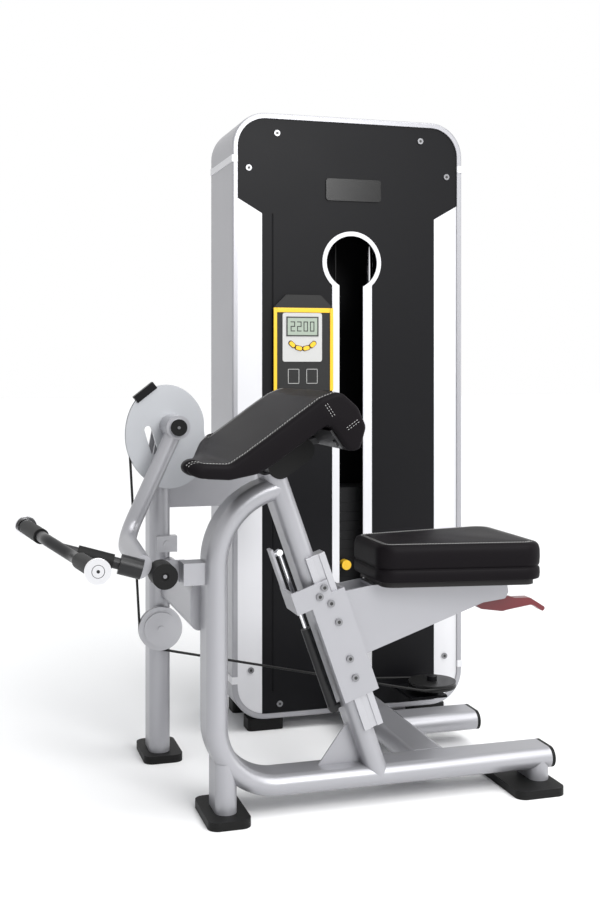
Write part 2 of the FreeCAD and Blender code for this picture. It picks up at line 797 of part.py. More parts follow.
def post_ends():
    """The slanted post's centre line."""
    (x_low, z_low), (x_high, z_high) = post_line
    return V(x_low, near_plane, z_low), V(x_high, near_plane, z_high)


def post_point(along, side, y):
    """A point given by its distance up the slanted post and to the left of it."""
    foot, head = post_ends()
    run = (head - foot).normalize()
    left = V(-run.z, 0, run.x)
    spot = foot + run * along + left * side
    return V(spot.x, y, spot.z)


def post_block(along, side, y_span):
    """A block square to the slanted post."""
    spots = [post_point(along[0], side[0], 0), post_point(along[1], side[0], 0),
             post_point(along[1], side[1], 0), post_point(along[0], side[1], 0)]
    return slab_y([(spot.x, spot.z) for spot in spots], (0,) * 4, y_span)


def frame_leg(x, top):
    """An upright flat-oval tube that stands on a foot of the near frame."""
    return oval_tube((x, near_plane, foot_thick), (x, near_plane, top), (0, 1, 0), tube_thick)


def frame_braces(rail, loop, post):
    """The gusset, the short legs and the stub with its plate for the arm's stop."""
    half = gusset_thick / 2
    gusset = slab_y(gusset_outline, (0,) * 3, (near_plane - half, near_plane + half))
    gusset = largest(gusset.cut([post, rail]))
    leg = largest(frame_leg(leg_x, leg_top).cut([loop, rail]))
    right_leg = largest(frame_leg(right_leg_x, rail_level).cut(rail))
    stub = largest(box(stub_x, stub_y, stub_z).cut(loop))
    plate = box(stop_plate_x, stop_plate_y, stub_z)
    return [gusset, leg, right_leg, stub.fuse(plate).removeSplitter()]


def arm_stop():
    """The round rubber stop under the arm, with a screw recess."""
    body = disc_y(stop_at, stop_y, stop_radius)
    return body.cut(disc_y(stop_at, (stop_y[0], stop_y[0] + screw_head), screw_radius))


def base_tubes(rail, rim):
    """The spine from the rail to the tower, and the short tube beside it."""
    middle = (spine_x[0] + spine_x[1]) / 2
    spine = oval_tube((middle, near_plane + tube_wide * spine_start_share, rail_level),
                      (middle, panel_recess, rail_level), (1, 0, 0), tube_thick)
    spine = largest(spine.cut(rail).cut(rim))
    side = oval_tube((base_tube_x[0], base_tube_y, rail_level),
                     (base_tube_x[1], base_tube_y, rail_level), (0, 1, 0), tube_thick)
    return spine, largest(side.cut(spine))


def feet_and_caps():
    """Rubber feet and the black caps in the tubes' open ends."""
    plans = [(front_foot_x, front_foot_y), (right_foot_x, right_foot_y),
             (rear_foot_x, rear_foot_y)]
    feet = [slab_z(corners(x_span, y_span), (foot_corner,) * 4, (0, foot_thick))
            for x_span, y_span in plans]
    for side in (-1, 1):
        x_span = tuple(sorted((side * tower_foot_x[0], side * tower_foot_x[1])))
        for y_span in tower_foot_y:
            feet.append(slab_z(corners(x_span, y_span), (tower_foot_corner,) * 4,
                               (0, tower_bottom)))
    caps = [oval_tube((rail_x[1], near_plane, rail_level),
                      (rail_x[1] + rail_cap, near_plane, rail_level), (0, 1, 0), tube_thick),
            oval_tube((base_tube_x[1], base_tube_y, rail_level),
                      (base_tube_x[1] + rail_cap, base_tube_y, rail_level), (0, 1, 0), tube_thick)]
    section = pad_tube_section(pad_tube_y[0] - pad_cap)
    caps.append(section.extrude(V(0, pad_cap, 0)))
    return feet + caps


def rear_frame(loop, rim):
    """The rear post, the cross tube and the beam to the tower."""
    post = oval_tube((rear_post_x, rear_post_y, foot_thick),
                     (rear_post_x, rear_post_y, rear_post_top), (0, 1, 0), rear_tube_thick)
    middle = ((cross_x[0] + cross_x[1]) / 2, (cross_z[0] + cross_z[1]) / 2)
    cross = oval_tube((middle[0], cross_y[0], middle[1]), (middle[0], cross_y[1], middle[1]),
                      (0, 0, 1), cross_x[1] - cross_x[0])
    cross = largest(cross.cut([post, loop]))
    points = ((beam_x[0], beam_y[0]), (beam_x[1], beam_y[0]), (beam_x[1], panel_recess),
              (beam_return_x[0], panel_recess), (beam_return_x[0], beam_y[1]),
              (beam_x[0], beam_y[1]))
    beam = slab_z(points, (0, 2 * beam_corner, 0, 0, beam_corner, 0), beam_z)
    beam = largest(beam.cut(post).cut(rim))
    return post, [cross, beam]


def bearing():
    """Two cheeks on the rear post and the sleeve in which the arm's shaft turns."""
    plates = [slab_y(cheek_outline, (0,) * 4, span) for span in cheek_y]
    sleeve = disc_y(hub_at, sleeve_y, sleeve_radius)
    bore = disc_y(hub_at, (2 * sleeve_y[0], 0), shaft_radius + running_gap)
    return sleeve.fuse(plates).cut(bore).removeSplitter()


def post_fittings(post):
    """The lower pulley's axle and cover, and the clamp plate with its bolt."""
    low_half = cable_plane + pulley_width / 2 + running_gap
    face = rear_post_y - tube_wide / 2
    spot = lower_pulley_at
    axle = disc_y(spot, (cover_y[0], face + rear_tube_thick / 2), axle_radius)
    washer = disc_y(spot, (low_half, face + rear_tube_thick / 2), 2 * axle_radius)
    cover = disc_y(spot, (cover_y[0], cable_plane - pulley_width / 2 - running_gap), cover_radius)
    screw = disc_y(spot, (cover_y[0] - screw_head, cover_y[0]), screw_radius)
    carrier = largest(axle.fuse([washer, cover, screw]).removeSplitter().cut(post))
    plate = box(clamp_plate_x, clamp_plate_y, clamp_plate_z)
    middle = ((clamp_plate_x[0] + clamp_plate_x[1]) / 2, (clamp_plate_z[0] + clamp_plate_z[1]) / 2)
    bolt = disc_y(middle, (clamp_plate_y[0] - screw_head, clamp_plate_y[0]), screw_radius)
    return [carrier, largest(plate.fuse(bolt).removeSplitter().cut(post))]


def arm_hub():
    """The arm's shaft, the barrel in front of the cam and the end caps' shoulders."""
    shaft = disc_y(hub_at, shaft_y, shaft_radius)
    barrel = disc_y(hub_at, barrel_y, sleeve_radius)
    return shaft.fuse(barrel).removeSplitter()


def cam():
    """The oval plate that winds the cable, grooved round its rim."""
    points = []
    for index, reach in enumerate(cam_radii):
        turn = 2 * math.pi * index / len(cam_radii)
        points.append(V(hub_at[0] + reach * math.cos(turn), cam_y[0],
                        hub_at[1] + reach * math.sin(turn)))
    curve = Part.BSplineCurve()
    curve.interpolate(Points=points, PeriodicFlag=True)
    body = Part.Face(Part.Wire(curve.toShape())).extrude(V(0, cam_y[1] - cam_y[0], 0))
    groove_span = (cable_plane - cam_groove_half, cable_plane + cam_groove_half)
    groove = disc_y(hub_at, groove_span, 3 * cam_pitch)
    floor = disc_y(hub_at, groove_span, cam_pitch - cable_radius - running_gap)
    (x_one, z_one), (x_two, z_two) = cam_slot
    slot_ends = [(hub_at[0] + x_one, hub_at[1] + z_one), (hub_at[0] + x_two, hub_at[1] + z_two)]
    holes = [disc_y(spot, (2 * cam_y[0], 0), cam_slot_radius) for spot in slot_ends]
    run = V(x_two - x_one, 0, z_two - z_one)
    across = V(-run.z, 0, run.x).normalize() * cam_slot_radius
    first = V(slot_ends[0][0], 2 * cam_y[0], slot_ends[0][1])
    wire = Part.makePolygon([first - across, first + across, first + across + run,
                             first - across + run, first - across])
    middle = Part.Face(wire).extrude(V(0, -2 * cam_y[0], 0))
    shaft = disc_y(hub_at, (2 * cam_y[0], 0), shaft_radius)
    return body.cut(groove.cut(floor)).cut([middle, shaft] + holes).removeSplitter()


def cable_clamp(cam_body):
    """The block that holds the cable's end on the cam's rim."""
    half_long, half_high = clamp_size[0] / 2, clamp_size[1] / 2
    block = box((-half_long, half_long), clamp_y, (cam_pitch - half_high, cam_pitch + half_high))
    block.rotate(V(0, 0, 0), V(0, 1, 0), 90 - clamp_at_angle)
    block.translate(V(hub_at[0], 0, hub_at[1]))
    span = (cable_plane - cam_groove_half, cable_plane + cam_groove_half)
    channel = disc_y(hub_at, span, cam_pitch + cam_groove_half)
    return largest(block.cut([cam_body, channel]))


def arm_tube(hub, collar):
    """The oval arm: down from the hub, then forward to the handle."""
    first, second = vec(arm_path[0]), vec(arm_path[1])
    heading = (second - first).normalize()
    thin = heading.cross(V(0, 1, 0)).normalize() * arm_half_thin
    broad = V(0, arm_half_wide, 0)
    ellipse = Part.Ellipse(first + broad, first + thin, first)
    section = Part.Wire(ellipse.toShape())
    tube = swept(path_wire(arm_path, (arm_bend,)), section)
    return largest(tube.cut([hub, collar]))


def along_line(start, end, share):
    """The point at a share of the way along a line."""
    return vec(start) + (vec(end) - vec(start)) * share


def handle():
    """The bent bar with its stem and collar, the foam sleeves and the end discs."""
    bar_path = path_wire(handle_path, handle_bends)
    heading = vec(handle_path[1]) - vec(handle_path[0])
    bar = swept(bar_path, circle_wire(handle_path[0], heading, handle_radius))
    stem = rod(stem_start, stem_end, handle_radius)
    collar = rod(stem_start, along_line(stem_start, stem_end, collar_share), collar_radius)
    whole = bar.fuse([stem, collar]).removeSplitter()
    runs = ((handle_path[0], handle_path[1], near_foam_share),
            (handle_path[2], handle_path[3], far_foam_share),
            (stem_start, stem_end, stem_foam_share))
    foams = []
    for start, end, (first, last) in runs:
        ends = (along_line(start, end, first), along_line(start, end, last))
        foam = rod(ends[0], ends[1], foam_radius)
        foams.append(foam.cut(rod(ends[0], ends[1], handle_radius)))
    discs = []
    for end, inner in ((handle_path[0], handle_path[1]), (handle_path[3], handle_path[2])):
        outward = (vec(end) - vec(inner)).normalize()
        discs.append(rod(end, vec(end) + outward * handle_cap_thick, handle_cap_radius))
    return whole, collar, foams, discs


def pad_tube_section(y):
    """The pad tube's tilted section."""
    slope = math.radians(pad_slope_angle)
    wide_axis = (math.cos(slope), 0, math.sin(slope))
    centre = (pad_tube_centre[0], y, pad_tube_centre[1])
    return oval_face(centre, (0, 1, 0), wide_axis, 2 * pad_tube_half[1], 2 * pad_tube_half[0])


def pad_tube():
    """The tube across the post's top that carries the arm pad."""
    return pad_tube_section(pad_tube_y[0]).extrude(V(0, pad_tube_y[1] - pad_tube_y[0], 0))


def pad_plates(tube):
    """The board between the tube and the pad, and the strap under the pad's nose with bolts."""
    slope = math.radians(pad_slope_angle)
    along = V(math.cos(slope), 0, math.sin(slope))
    up = V(-math.sin(slope), 0, math.cos(slope))
    middle = V(pad_tube_centre[0], 0, pad_tube_centre[1])
    spots = []
    for run, rise in corners(pad_plate_along, pad_plate_up):
        spots.append(middle + along * run + up * rise)
    board = slab_y([(spot.x, spot.z) for spot in spots], (0,) * 4, pad_plate_y)
    strap_y = (pad_y[0] + pad_strap_inset, pad_y[1] - pad_strap_inset)
    strap = slab_y(pad_strap_outline, (0,) * 4, strap_y)
    tab = slab_y(pad_strap_tab, (0,) * 4, pad_tube_y)
    (x_low, z_low), (x_high, z_high) = pad_bolt_ends
    bolts = [rod((x_low, y, z_low), (x_high, y, z_high), pad_bolt_radius)
             for y in (strap_y[0] + pad_strap_inset, strap_y[1] - pad_strap_inset)]
    strap = strap.fuse([tab, *bolts]).removeSplitter()
    capped = tube.fuse(pad_tube_section(pad_tube_y[0] - pad_cap).extrude(V(0, pad_cap, 0)))
    return [board, largest(strap.cut(capped))]


def arm_pad():
    """The padded rest: a flat lip, a slope, and a rounded nose that turns down."""
    body = slab_y(pad_outline, pad_rounds, pad_y)
    ends = edges_at(body, lambda point: near(point.y, pad_y[0]) or near(point.y, pad_y[1]))
    rims = [edge for edge in ends
            if near(edge.Vertexes[0].Point.y, edge.Vertexes[-1].Point.y)]
    body = body.makeFillet(pad_edge_roll, rims)
    left = pad_outline[0][0] - pad_edge_roll
    plan = ((left, pad_y[0]), (0, pad_y[0]), (0, pad_y[1]), (pad_far_left, pad_y[1]))
    levels = (0, tower_top)
    return largest(body.common(slab_z(plan, (pad_plan_round, 0, 0, pad_plan_round), levels)))


def seat_track(post):
    """The ribbed guide rail on the slanted post."""
    rail = post_block(track_along, track_side, track_y)
    groove = post_block((track_along[0] - track_groove, track_along[1] + track_groove),
                        track_rail_side, (track_y[0], track_y[0] + track_groove))
    return largest(rail.cut(groove).cut(post))


def gas_spring(post):
    """The cylinder held on the post, and the rod that moves with the carriage."""
    ends = [post_point(along, gas_side, near_plane) for along in gas_cylinder_along]
    body = rod(ends[0], ends[1], gas_radius)
    bore = rod(post_point(gas_bore_floor, gas_side, near_plane),
               post_point(gas_cylinder_along[1] + gas_radius, gas_side, near_plane),
               gas_rod_radius + running_gap)
    eye = rod(post_point(gas_stud_along[0], gas_side, near_plane - gas_stud_radius),
              post_point(gas_stud_along[0], gas_side, near_plane + gas_stud_radius), gas_radius)
    stud = rod(post_point(gas_stud_along[0], gas_side, near_plane),
               post_point(gas_stud_along[0], 0, near_plane), gas_stud_radius)
    cylinder = largest(body.cut(bore).fuse([eye, stud]).cut(post))
    shank = rod(post_point(gas_rod_along[0], gas_side, near_plane),
                post_point(gas_rod_along[1], gas_side, near_plane), gas_rod_radius)
    top_eye = rod(post_point(gas_stud_along[1], gas_side, near_plane - gas_stud_radius),
                  post_point(gas_stud_along[1], gas_side, near_plane + gas_stud_radius),
                  gas_radius - gas_rod_radius)
    return cylinder, shank.fuse(top_eye).removeSplitter()


def carriage(gas_rod):
    """The folded plate that slides on the track, with the strap that holds the rod."""
    near_plate = post_block(carriage_along, carriage_side, carriage_y)
    wall = post_block(carriage_along, (carriage_side[0], carriage_side[0] + carriage_wall),
                      (carriage_y[0], carriage_back_y))
    strap = post_block(strap_along, (strap_near_side, strap_side[1]), carriage_y)
    strap_wall = post_block(strap_along, strap_side, (carriage_y[0], strap_back_y))
    arm = post_block((strap_along[0], strap_arm_along), strap_side, strap_arm_y)
    stud = rod(post_point(gas_stud_along[1], strap_side[0], near_plane),
               post_point(gas_stud_along[1], gas_side, near_plane), gas_stud_radius - running_gap)
    whole = near_plate.fuse([wall, strap, strap_wall, arm, stud]).removeSplitter()
    return largest(whole.cut(gas_rod))


def carriage_screws():
    """Screw heads on the carriage's near plate."""
    front = carriage_y[0]
    return [disc_y(spot, (front - carriage_screw_head, front), screw_radius)
            for spot in carriage_screw_spots]


def seat_arm(carriage_body):
    """The two side plates under the seat, joined by a top plate and the lever's pin."""
    plates = [slab_y(seat_arm_outline, seat_arm_rounds, span) for span in seat_arm_y]
    rib = box(seat_rib_x, (seat_arm_y[0][0], seat_arm_y[1][1]), seat_rib_z)
    pin = disc_y(lever_pin_at, (seat_arm_y[0][0], seat_arm_y[1][1]), lever_pin_radius)
    whole = plates[0].fuse([plates[1], rib, pin]).removeSplitter()
    return largest(whole.cut(carriage_body))


def seat_board():
    """The board under the cushion."""
    face = closed_face([(x, y, board_z[0]) for x, y in seat_plan], (seat_corner,) * 4)
    return face.makeOffset2D(-board_inset).extrude(V(0, 0, board_z[1] - board_z[0]))


def seat_cushion():
    """A crowned upper cushion on a thin lower layer, with a drawn-in line between them."""
    low, high = seat_upper_z
    upper = slab_z(seat_plan, (seat_corner,) * 4, (low, high))
    centre = V((seat_plan[0][0] + seat_plan[1][0]) / 2, near_plane, high - seat_crown_radius)
    upper = upper.common(Part.makeSphere(seat_crown_radius, centre))
    rims = [edge for edge in upper.Edges
            if all(vertex.Point.z > low + seat_channel for vertex in edge.Vertexes)]
    upper = upper.makeFillet(seat_roll, rims)
    lower = slab_z(seat_plan, (seat_corner,) * 4, seat_lower_z)
    tops = edges_at(lower, lambda point: near(point.z, seat_lower_z[1]))
    lower = lower.makeFillet(seat_lower_roll, tops)
    lower.translate(V(0, 0, pad_clear))
    core_face = closed_face([(x, y, seat_lower_z[0] + seat_channel) for x, y in seat_plan],
                            (seat_corner,) * 4)
    core = core_face.makeOffset2D(-seat_channel).extrude(V(0, 0, low - seat_lower_z[0]))
    return upper.fuse([lower, core]).removeSplitter()


def seat_lever():
    """The bent lever under the seat, with its boss on the pin."""
    bar = slab_y(lever_outline, lever_rounds, (near_plane - lever_half, near_plane + lever_half))
    span = (near_plane - lever_boss_half, near_plane + lever_boss_half)
    boss = disc_y(lever_pin_at, span, lever_boss_radius)
    hole = disc_y(lever_pin_at, (2 * near_plane, 0), lever_pin_radius + running_gap)
    return largest(bar.fuse(boss).cut(hole).removeSplitter())


def build():
    """Every piece by its node name, still in the modelling frame."""
    pieces = {}
    rim_ends, rim_sides, strips = tower_rim()
    rim = rim_ends.Solids + rim_sides.Solids + strips
    strips = [strip.cut(rim_ends.Solids + rim_sides.Solids) for strip in strips]
    front, inserts, trim, rear = shroud()
    pieces["rim_ends"] = rim_ends.Solids
    pieces["rim_sides"] = rim_sides.Solids
    pieces["white_trim"] = inserts + strips
    pieces["shroud_front"] = [front]
    pieces["shroud_rear"] = [rear]
    pieces["keyhole_trim"] = [trim]
    pieces["badge_plate"] = [badge()]
    pieces["tower_screws"] = tower_screws()
    body, bars, label, display, petals = console()
    pieces["console_body"] = [body]
    pieces["console_trim"] = bars
    pieces["console_label"] = [label]
    pieces["console_display"] = [display]
    for index, petal in enumerate(petals, 1):
        pieces[f"button_{index}"] = [petal]
    resting, lifted = stack_plates()
    low_wheel, top_wheel, carriers = inner_pulleys()
    pieces["guide_rods"] = guide_rods()
    pieces["plates_resting"] = resting
    pieces["plates_lifted"] = lifted
    pieces["stack_head"] = [stack_head()]
    pieces["selector_pin"] = [selector_pin()]
    pieces["inner_pulley"] = [low_wheel]
    pieces["top_pulley"] = [top_wheel]
    pieces["inner_brackets"] = carriers
    rail, loop, post = near_frame()
    pieces["frame_rail"] = [rail]
    pieces["frame_loop"] = [loop]
    pieces["frame_post"] = [post]
    pieces["frame_braces"] = frame_braces(rail, loop, post)
    pieces["arm_stop"] = [arm_stop()]
    spine, side = base_tubes(rail, rim)
    pieces["base_spine"] = [spine]
    pieces["base_tube"] = [side]
    pieces["feet_and_caps"] = feet_and_caps()
    lower, disc = outer_pulleys()
    pieces["lower_pulley"] = [lower]
    pieces["disc_pulley"] = [disc]
    pieces["disc_bracket"] = [disc_bracket()]
    rear_post, beams = rear_frame(loop, rim)
    pieces["rear_post"] = [rear_post]
    pieces["rear_beams"] = beams
    pieces["bearing"] = [bearing()]
    pieces["post_fittings"] = post_fittings(rear_post)
    hub = arm_hub()
    cam_body = cam()
    handle_bar, collar, foams, discs = handle()
    pieces["arm_hub"] = [hub]
    pieces["cam"] = [cam_body]
    pieces["cable_clamp"] = [cable_clamp(cam_body)]
    pieces["arm_tube"] = [arm_tube(hub, collar)]
    pieces["handle_bar"] = [handle_bar]
    pieces["hand_foams"] = foams
    pieces["handle_discs"] = discs
    pieces["cable"] = [main_cable()]
    pieces["cable_drop"] = [cable_drop()]
    gas_cylinder, gas_rod = gas_spring(post)
    carriage_body = carriage(gas_rod)
    pieces["seat_track"] = [seat_track(post)]
    pieces["gas_cylinder"] = [gas_cylinder]
    pieces["gas_rod"] = [gas_rod]
    pieces["carriage"] = [carriage_body]
    pieces["carriage_screws"] = carriage_screws()
    pieces["seat_arm"] = [seat_arm(carriage_body)]
    pieces["seat_board"] = [seat_board()]
    pieces["seat_cushion"] = [seat_cushion()]
    pieces["seat_lever"] = [seat_lever()]
    tube = pad_tube()
    pieces["pad_tube"] = [tube]
    pieces["pad_plates"] = pad_plates(tube)
    pieces["arm_pad"] = [arm_pad()]
    return pieces


def origin_shift(pieces):
    """How far the whole moves so that its bottom centre lies at the origin."""
    bounds = FreeCAD.BoundBox()
    for solids in pieces.values():
        for solid in solids:
            bounds.add(solid.optimalBoundingBox(False))
    return V(-bounds.Center.x, -bounds.Center.y, -bounds.ZMin)


def export(pieces, shift):
    """Write one STEP file for each node."""
    os.makedirs("parts", exist_ok=True)
    for name, solids in pieces.items():
        moved = [solid.copy() for solid in solids]
        for solid in moved:
            solid.translate(shift)
        shape = moved[0] if len(moved) == 1 else Part.makeCompound(moved)
        shape.exportStep(f"parts/{name}.step")


if __name__ == "__main__":
    all_pieces = build()
    export(all_pieces, origin_shift(all_pieces))
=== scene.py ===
import json
import math

import bmesh
import bpy
from mathutils import Matrix, Vector, noise


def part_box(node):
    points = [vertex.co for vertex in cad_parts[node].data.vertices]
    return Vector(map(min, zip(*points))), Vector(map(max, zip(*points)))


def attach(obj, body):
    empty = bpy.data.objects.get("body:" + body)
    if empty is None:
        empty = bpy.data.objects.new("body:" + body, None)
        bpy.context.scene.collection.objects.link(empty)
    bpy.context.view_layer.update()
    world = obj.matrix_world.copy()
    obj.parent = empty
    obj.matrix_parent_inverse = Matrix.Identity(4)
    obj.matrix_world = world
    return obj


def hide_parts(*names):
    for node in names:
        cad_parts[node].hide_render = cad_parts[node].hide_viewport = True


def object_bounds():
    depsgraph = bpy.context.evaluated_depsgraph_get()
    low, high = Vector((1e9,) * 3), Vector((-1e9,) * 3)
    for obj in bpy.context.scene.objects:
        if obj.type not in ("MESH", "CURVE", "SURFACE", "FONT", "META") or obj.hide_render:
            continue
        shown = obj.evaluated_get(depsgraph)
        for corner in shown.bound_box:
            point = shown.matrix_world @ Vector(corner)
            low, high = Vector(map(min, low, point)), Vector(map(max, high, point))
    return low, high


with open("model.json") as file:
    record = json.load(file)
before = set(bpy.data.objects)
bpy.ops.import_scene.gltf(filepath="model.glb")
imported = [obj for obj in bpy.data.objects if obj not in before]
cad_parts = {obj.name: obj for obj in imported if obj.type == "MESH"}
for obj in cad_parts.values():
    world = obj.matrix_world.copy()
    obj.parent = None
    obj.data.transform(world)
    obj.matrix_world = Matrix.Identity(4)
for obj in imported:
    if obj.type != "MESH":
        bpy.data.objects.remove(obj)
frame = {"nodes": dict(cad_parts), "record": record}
cad_low, cad_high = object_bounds()
nodes = frame["nodes"]

# Sizes are metres and angles are degrees, unless a name says otherwise.
MM = 0.001
UPWARD = Vector((0, 0, 1))
FRONTWARD = Vector((0, -1, 0))
BACKWARD = Vector((0, 1, 0))
QUARTER_TURN = Matrix.Rotation(math.pi / 2, 4, "X")

# Edges of the CAD nodes
JOIN_DISTANCE = 0.01 * MM
EDGE_WIDTH = 0.7 * MM
EDGE_STEPS = 2
EDGE_ANGLE = 38

# Surfaces: colour, roughness, metal, grain scale, grain depth in micrometres, specular level,
# and for some the spread of the roughness and the coat
PAINTS = {
    "silver": ((0.34, 0.34, 0.36), 0.36, 0.5, 900, 30, 0.5),
    "cam_grey": ((0.40, 0.41, 0.43), 0.40, 0.45, 700, 30, 0.5),
    "white_paint": ((0.66, 0.66, 0.68), 0.34, 0.0, 250, 20, 0.5),
    "black_paint": ((0.005, 0.005, 0.006), 0.42, 0.0, 700, 30, 0.12),
    "plate_black": ((0.010, 0.010, 0.011), 0.50, 0.0, 260, 100, 0.25),
    "chrome": ((0.80, 0.80, 0.82), 0.10, 1.0, 200, 10, 0.5, 0.04),
    "black_steel": ((0.010, 0.010, 0.011), 0.34, 0.0, 500, 30, 0.3),
    "cover_silver": ((0.42, 0.42, 0.44), 0.36, 0.6, 600, 30, 0.5),
    "badge": ((0.008, 0.008, 0.008), 0.22, 0.0, 300, 10, 0.25),
    "screw_steel": ((0.22, 0.22, 0.23), 0.30, 0.9, 400, 20, 0.5),
    "console_black": ((0.012, 0.012, 0.012), 0.45, 0.0, 700, 50, 0.25),
    "yellow": ((0.83, 0.50, 0.012), 0.32, 0.0, 300, 20, 0.5),
    "label_white": ((0.50, 0.50, 0.49), 0.35, 0.0, 300, 10, 0.5),
    "display": ((0.34, 0.40, 0.33), 0.16, 0.0, 300, 10, 0.5),
    "pulley_black": ((0.010, 0.010, 0.010), 0.36, 0.0, 400, 30, 0.3),
    "rubber": ((0.007, 0.007, 0.007), 0.55, 0.0, 900, 100, 0.15),
    "cable_black": ((0.008, 0.008, 0.008), 0.40, 0.0, 900, 60, 0.25),
    "red_paint": ((0.11, 0.003, 0.007), 0.30, 0.0, 300, 20, 0.5, 0.05, 0.15),
    "board": ((0.012, 0.011, 0.011), 0.60, 0.0, 120, 100, 0.25),
    "thread": ((0.40, 0.40, 0.39), 0.6, 0.0, 900, 100, 0.5),
    # The console's dark print and edge, and also the painted shade in the screws' sockets
    "ink_and_socket_shade": ((0.012, 0.012, 0.012), 0.4, 0.0, 300, 10, 0.5),
    "strap_steel": ((0.035, 0.035, 0.037), 0.35, 0.5, 500, 30, 0.5),
    "brown_ink": ((0.05, 0.022, 0.008), 0.4, 0.0, 300, 10, 0.5),
    "floor": ((0.93, 0.93, 0.93), 0.75, 0.0, 40, 10, 0.5),
}
LEATHER_COLOR = (0.006, 0.005, 0.006)
LEATHER_ROUGHNESS = 0.46
LEATHER_SPECULAR = 0.05
LEATHER_CELLS = 620
LEATHER_DEPTH = 0.00012
LEATHER_FINE_SCALE = 900
LEATHER_CELL_SHARE = 0.7
GRAIN_DETAIL = 3
BROAD_SCALE = 7
# The strap under the arm pad's nose looks dark in the photo.
OWN_LOOK = {"pad_plates": "strap_steel"}

# Soft covers
ROLL = 9 * MM
SEAM_INSET = 19 * MM
SEAM_WIDTH = 3.0 * MM
SEAM_DEPTH = 1.4 * MM
ROW_HALF_GAP = 2.6 * MM
STITCH_PITCH = 6.2 * MM
STITCH_LENGTH = 4.2 * MM
STITCH_RADIUS = 0.6 * MM
STITCH_LIFT_SHARE = 0.4
STITCH_SIDES = 8
STITCH_RINGS = 5
PUFF = 2.0 * MM
WRINKLE = 0.7 * MM
WRINKLE_SCALE = 16

# Arm pad
PAD_POINTS = 220
PAD_STEPS_MM = (0, 0.6, 1.8, 3.6, 6, 9, 12, 15, 17, 18, 19, 20, 21, 23, 26, 31, 40, 55, 75, 100,
                130, 165)
LIP_ROUND = 22 * MM
LIP_READ = 12 * MM
LIP_LONGEST = 42 * MM
UP_FACING = 0.25
PAD_END_Y = -0.745
PAD_END_SEAMS = (((-0.309, 0.872), (-0.292, 0.846)), ((-0.240, 0.838), (-0.263, 0.822)))

# Seat cushion: rows of height from the underside, the drawn-in line or the top, and inset
SEAT_POINTS = 200
SEAT_LINE_Z = 0.5155
SEAT_OUTLINE_ABOVE = 0.02
SEAT_FOOT_ROWS_MM = ((0, 4), (1, 1.5), (4, 0), (12, -0.8))
SEAT_LINE_ROWS_MM = ((-5, 0), (-2.2, 1.4), (-1, 4), (1, 4), (2.2, 1.6), (6, 0.2), (18, -0.6),
                     (34, -0.4))
SEAT_TOP_ROWS_MM = ((-12, 0.8), (-8, 2.0), (-4, 4.6), (-1.5, 8), (0, 12), (0.3, 15), (-0.6, 17.5),
                    (-1.1, 19), (-0.6, 20.5), (0.5, 23), (1.2, 28))
SEAT_CROWN = 4 * MM
SEAT_CROWN_REST = SEAT_CROWN - 1.2 * MM
SEAT_CROWN_SHARES = (0.12, 0.25, 0.4, 0.55, 0.7, 0.84, 0.95)
SEAT_SIDE_WRINKLE = 0.6

# Console
PRINT_LIFT = 0.25 * MM
# Which of a digit's seven bars are lit: top, two upper sides, middle, two lower sides, bottom.
DIGIT_BARS = {"2": (1, 0, 1, 1, 1, 0, 1), "0": (1, 1, 1, 0, 1, 1, 1)}
DIGIT_TEXT = "2200"
DIGIT_WIDTH = 12 * MM
DIGIT_HEIGHT = 26 * MM
DIGIT_PITCH = 17.5 * MM
DIGIT_BAR = 2.4 * MM
BEZEL_EDGE = 3 * MM
BEZEL_FRONT = 0.6 * MM
BEZEL_BACK = 1 * MM
PETALS = ("button_1", "button_2", "button_3", "button_4")
PETAL_POINTS = 40
PETAL_OUTER = 1.36
PETAL_INNER = 1.02
FIELD_PLACES = ((-0.158, 0.918), (-0.108, 0.918))
FIELD_HALF_WIDTH = 15 * MM
FIELD_HALF_HEIGHT = 19 * MM
FIELD_LINE = 1.2 * MM

# Screws, painted socket shade, caps and marks
TOWER_SCREWS = ((0.200, 1.549), (0.276, 1.456), (0.193, 0.068), (0.270, 0.160))
CARRIAGE_SCREWS = ((-0.266, 0.481), (-0.276, 0.462), (-0.251, 0.447), (-0.234, 0.407),
                   (-0.209, 0.328), (-0.197, 0.287))
# Flat dark hexagons on the screw heads: painted shade standing in for the sockets' recesses
SOCKET_SIDES = 6
SOCKET_RADIUS = 4 * MM
SOCKET_THICK = 0.4 * MM
SOCKET_OUT = 0.1 * MM
# Each end of the handle: the middle of the disc's outer face, and a point further down the bar.
HANDLE_ENDS = (((-0.7634, -0.8102, 0.5735), (-0.780, -0.560, 0.562)),
               ((-0.8541, -0.2348, 0.5849), (-0.827, -0.480, 0.587)))
ROUND_SIDES = 48
DISC_SIDES = 40
MARK_INNER = 11.2 * MM
MARK_OUTER = 12.2 * MM
MARK_HALF_THICK = 0.4 * MM
MARK_SCREW_RADIUS = 3.2 * MM
MARK_SCREW_THICK = 1.2 * MM
HUB_PLACE = (-0.510, 0.803)
CAP_RADIUS = 19.5 * MM
CAP_THICK = 3 * MM
CAP_SCREW_RADIUS = 3.5 * MM
CAP_SCREW_THICK = 1.4 * MM
CAP_SCREW_OUT = 2 * MM
STOP_PLACE = (-0.597, 0.515)
STOP_RECESS = 3 * MM
STOP_SCREW_RADIUS = 4 * MM
STOP_SCREW_THICK = 2 * MM

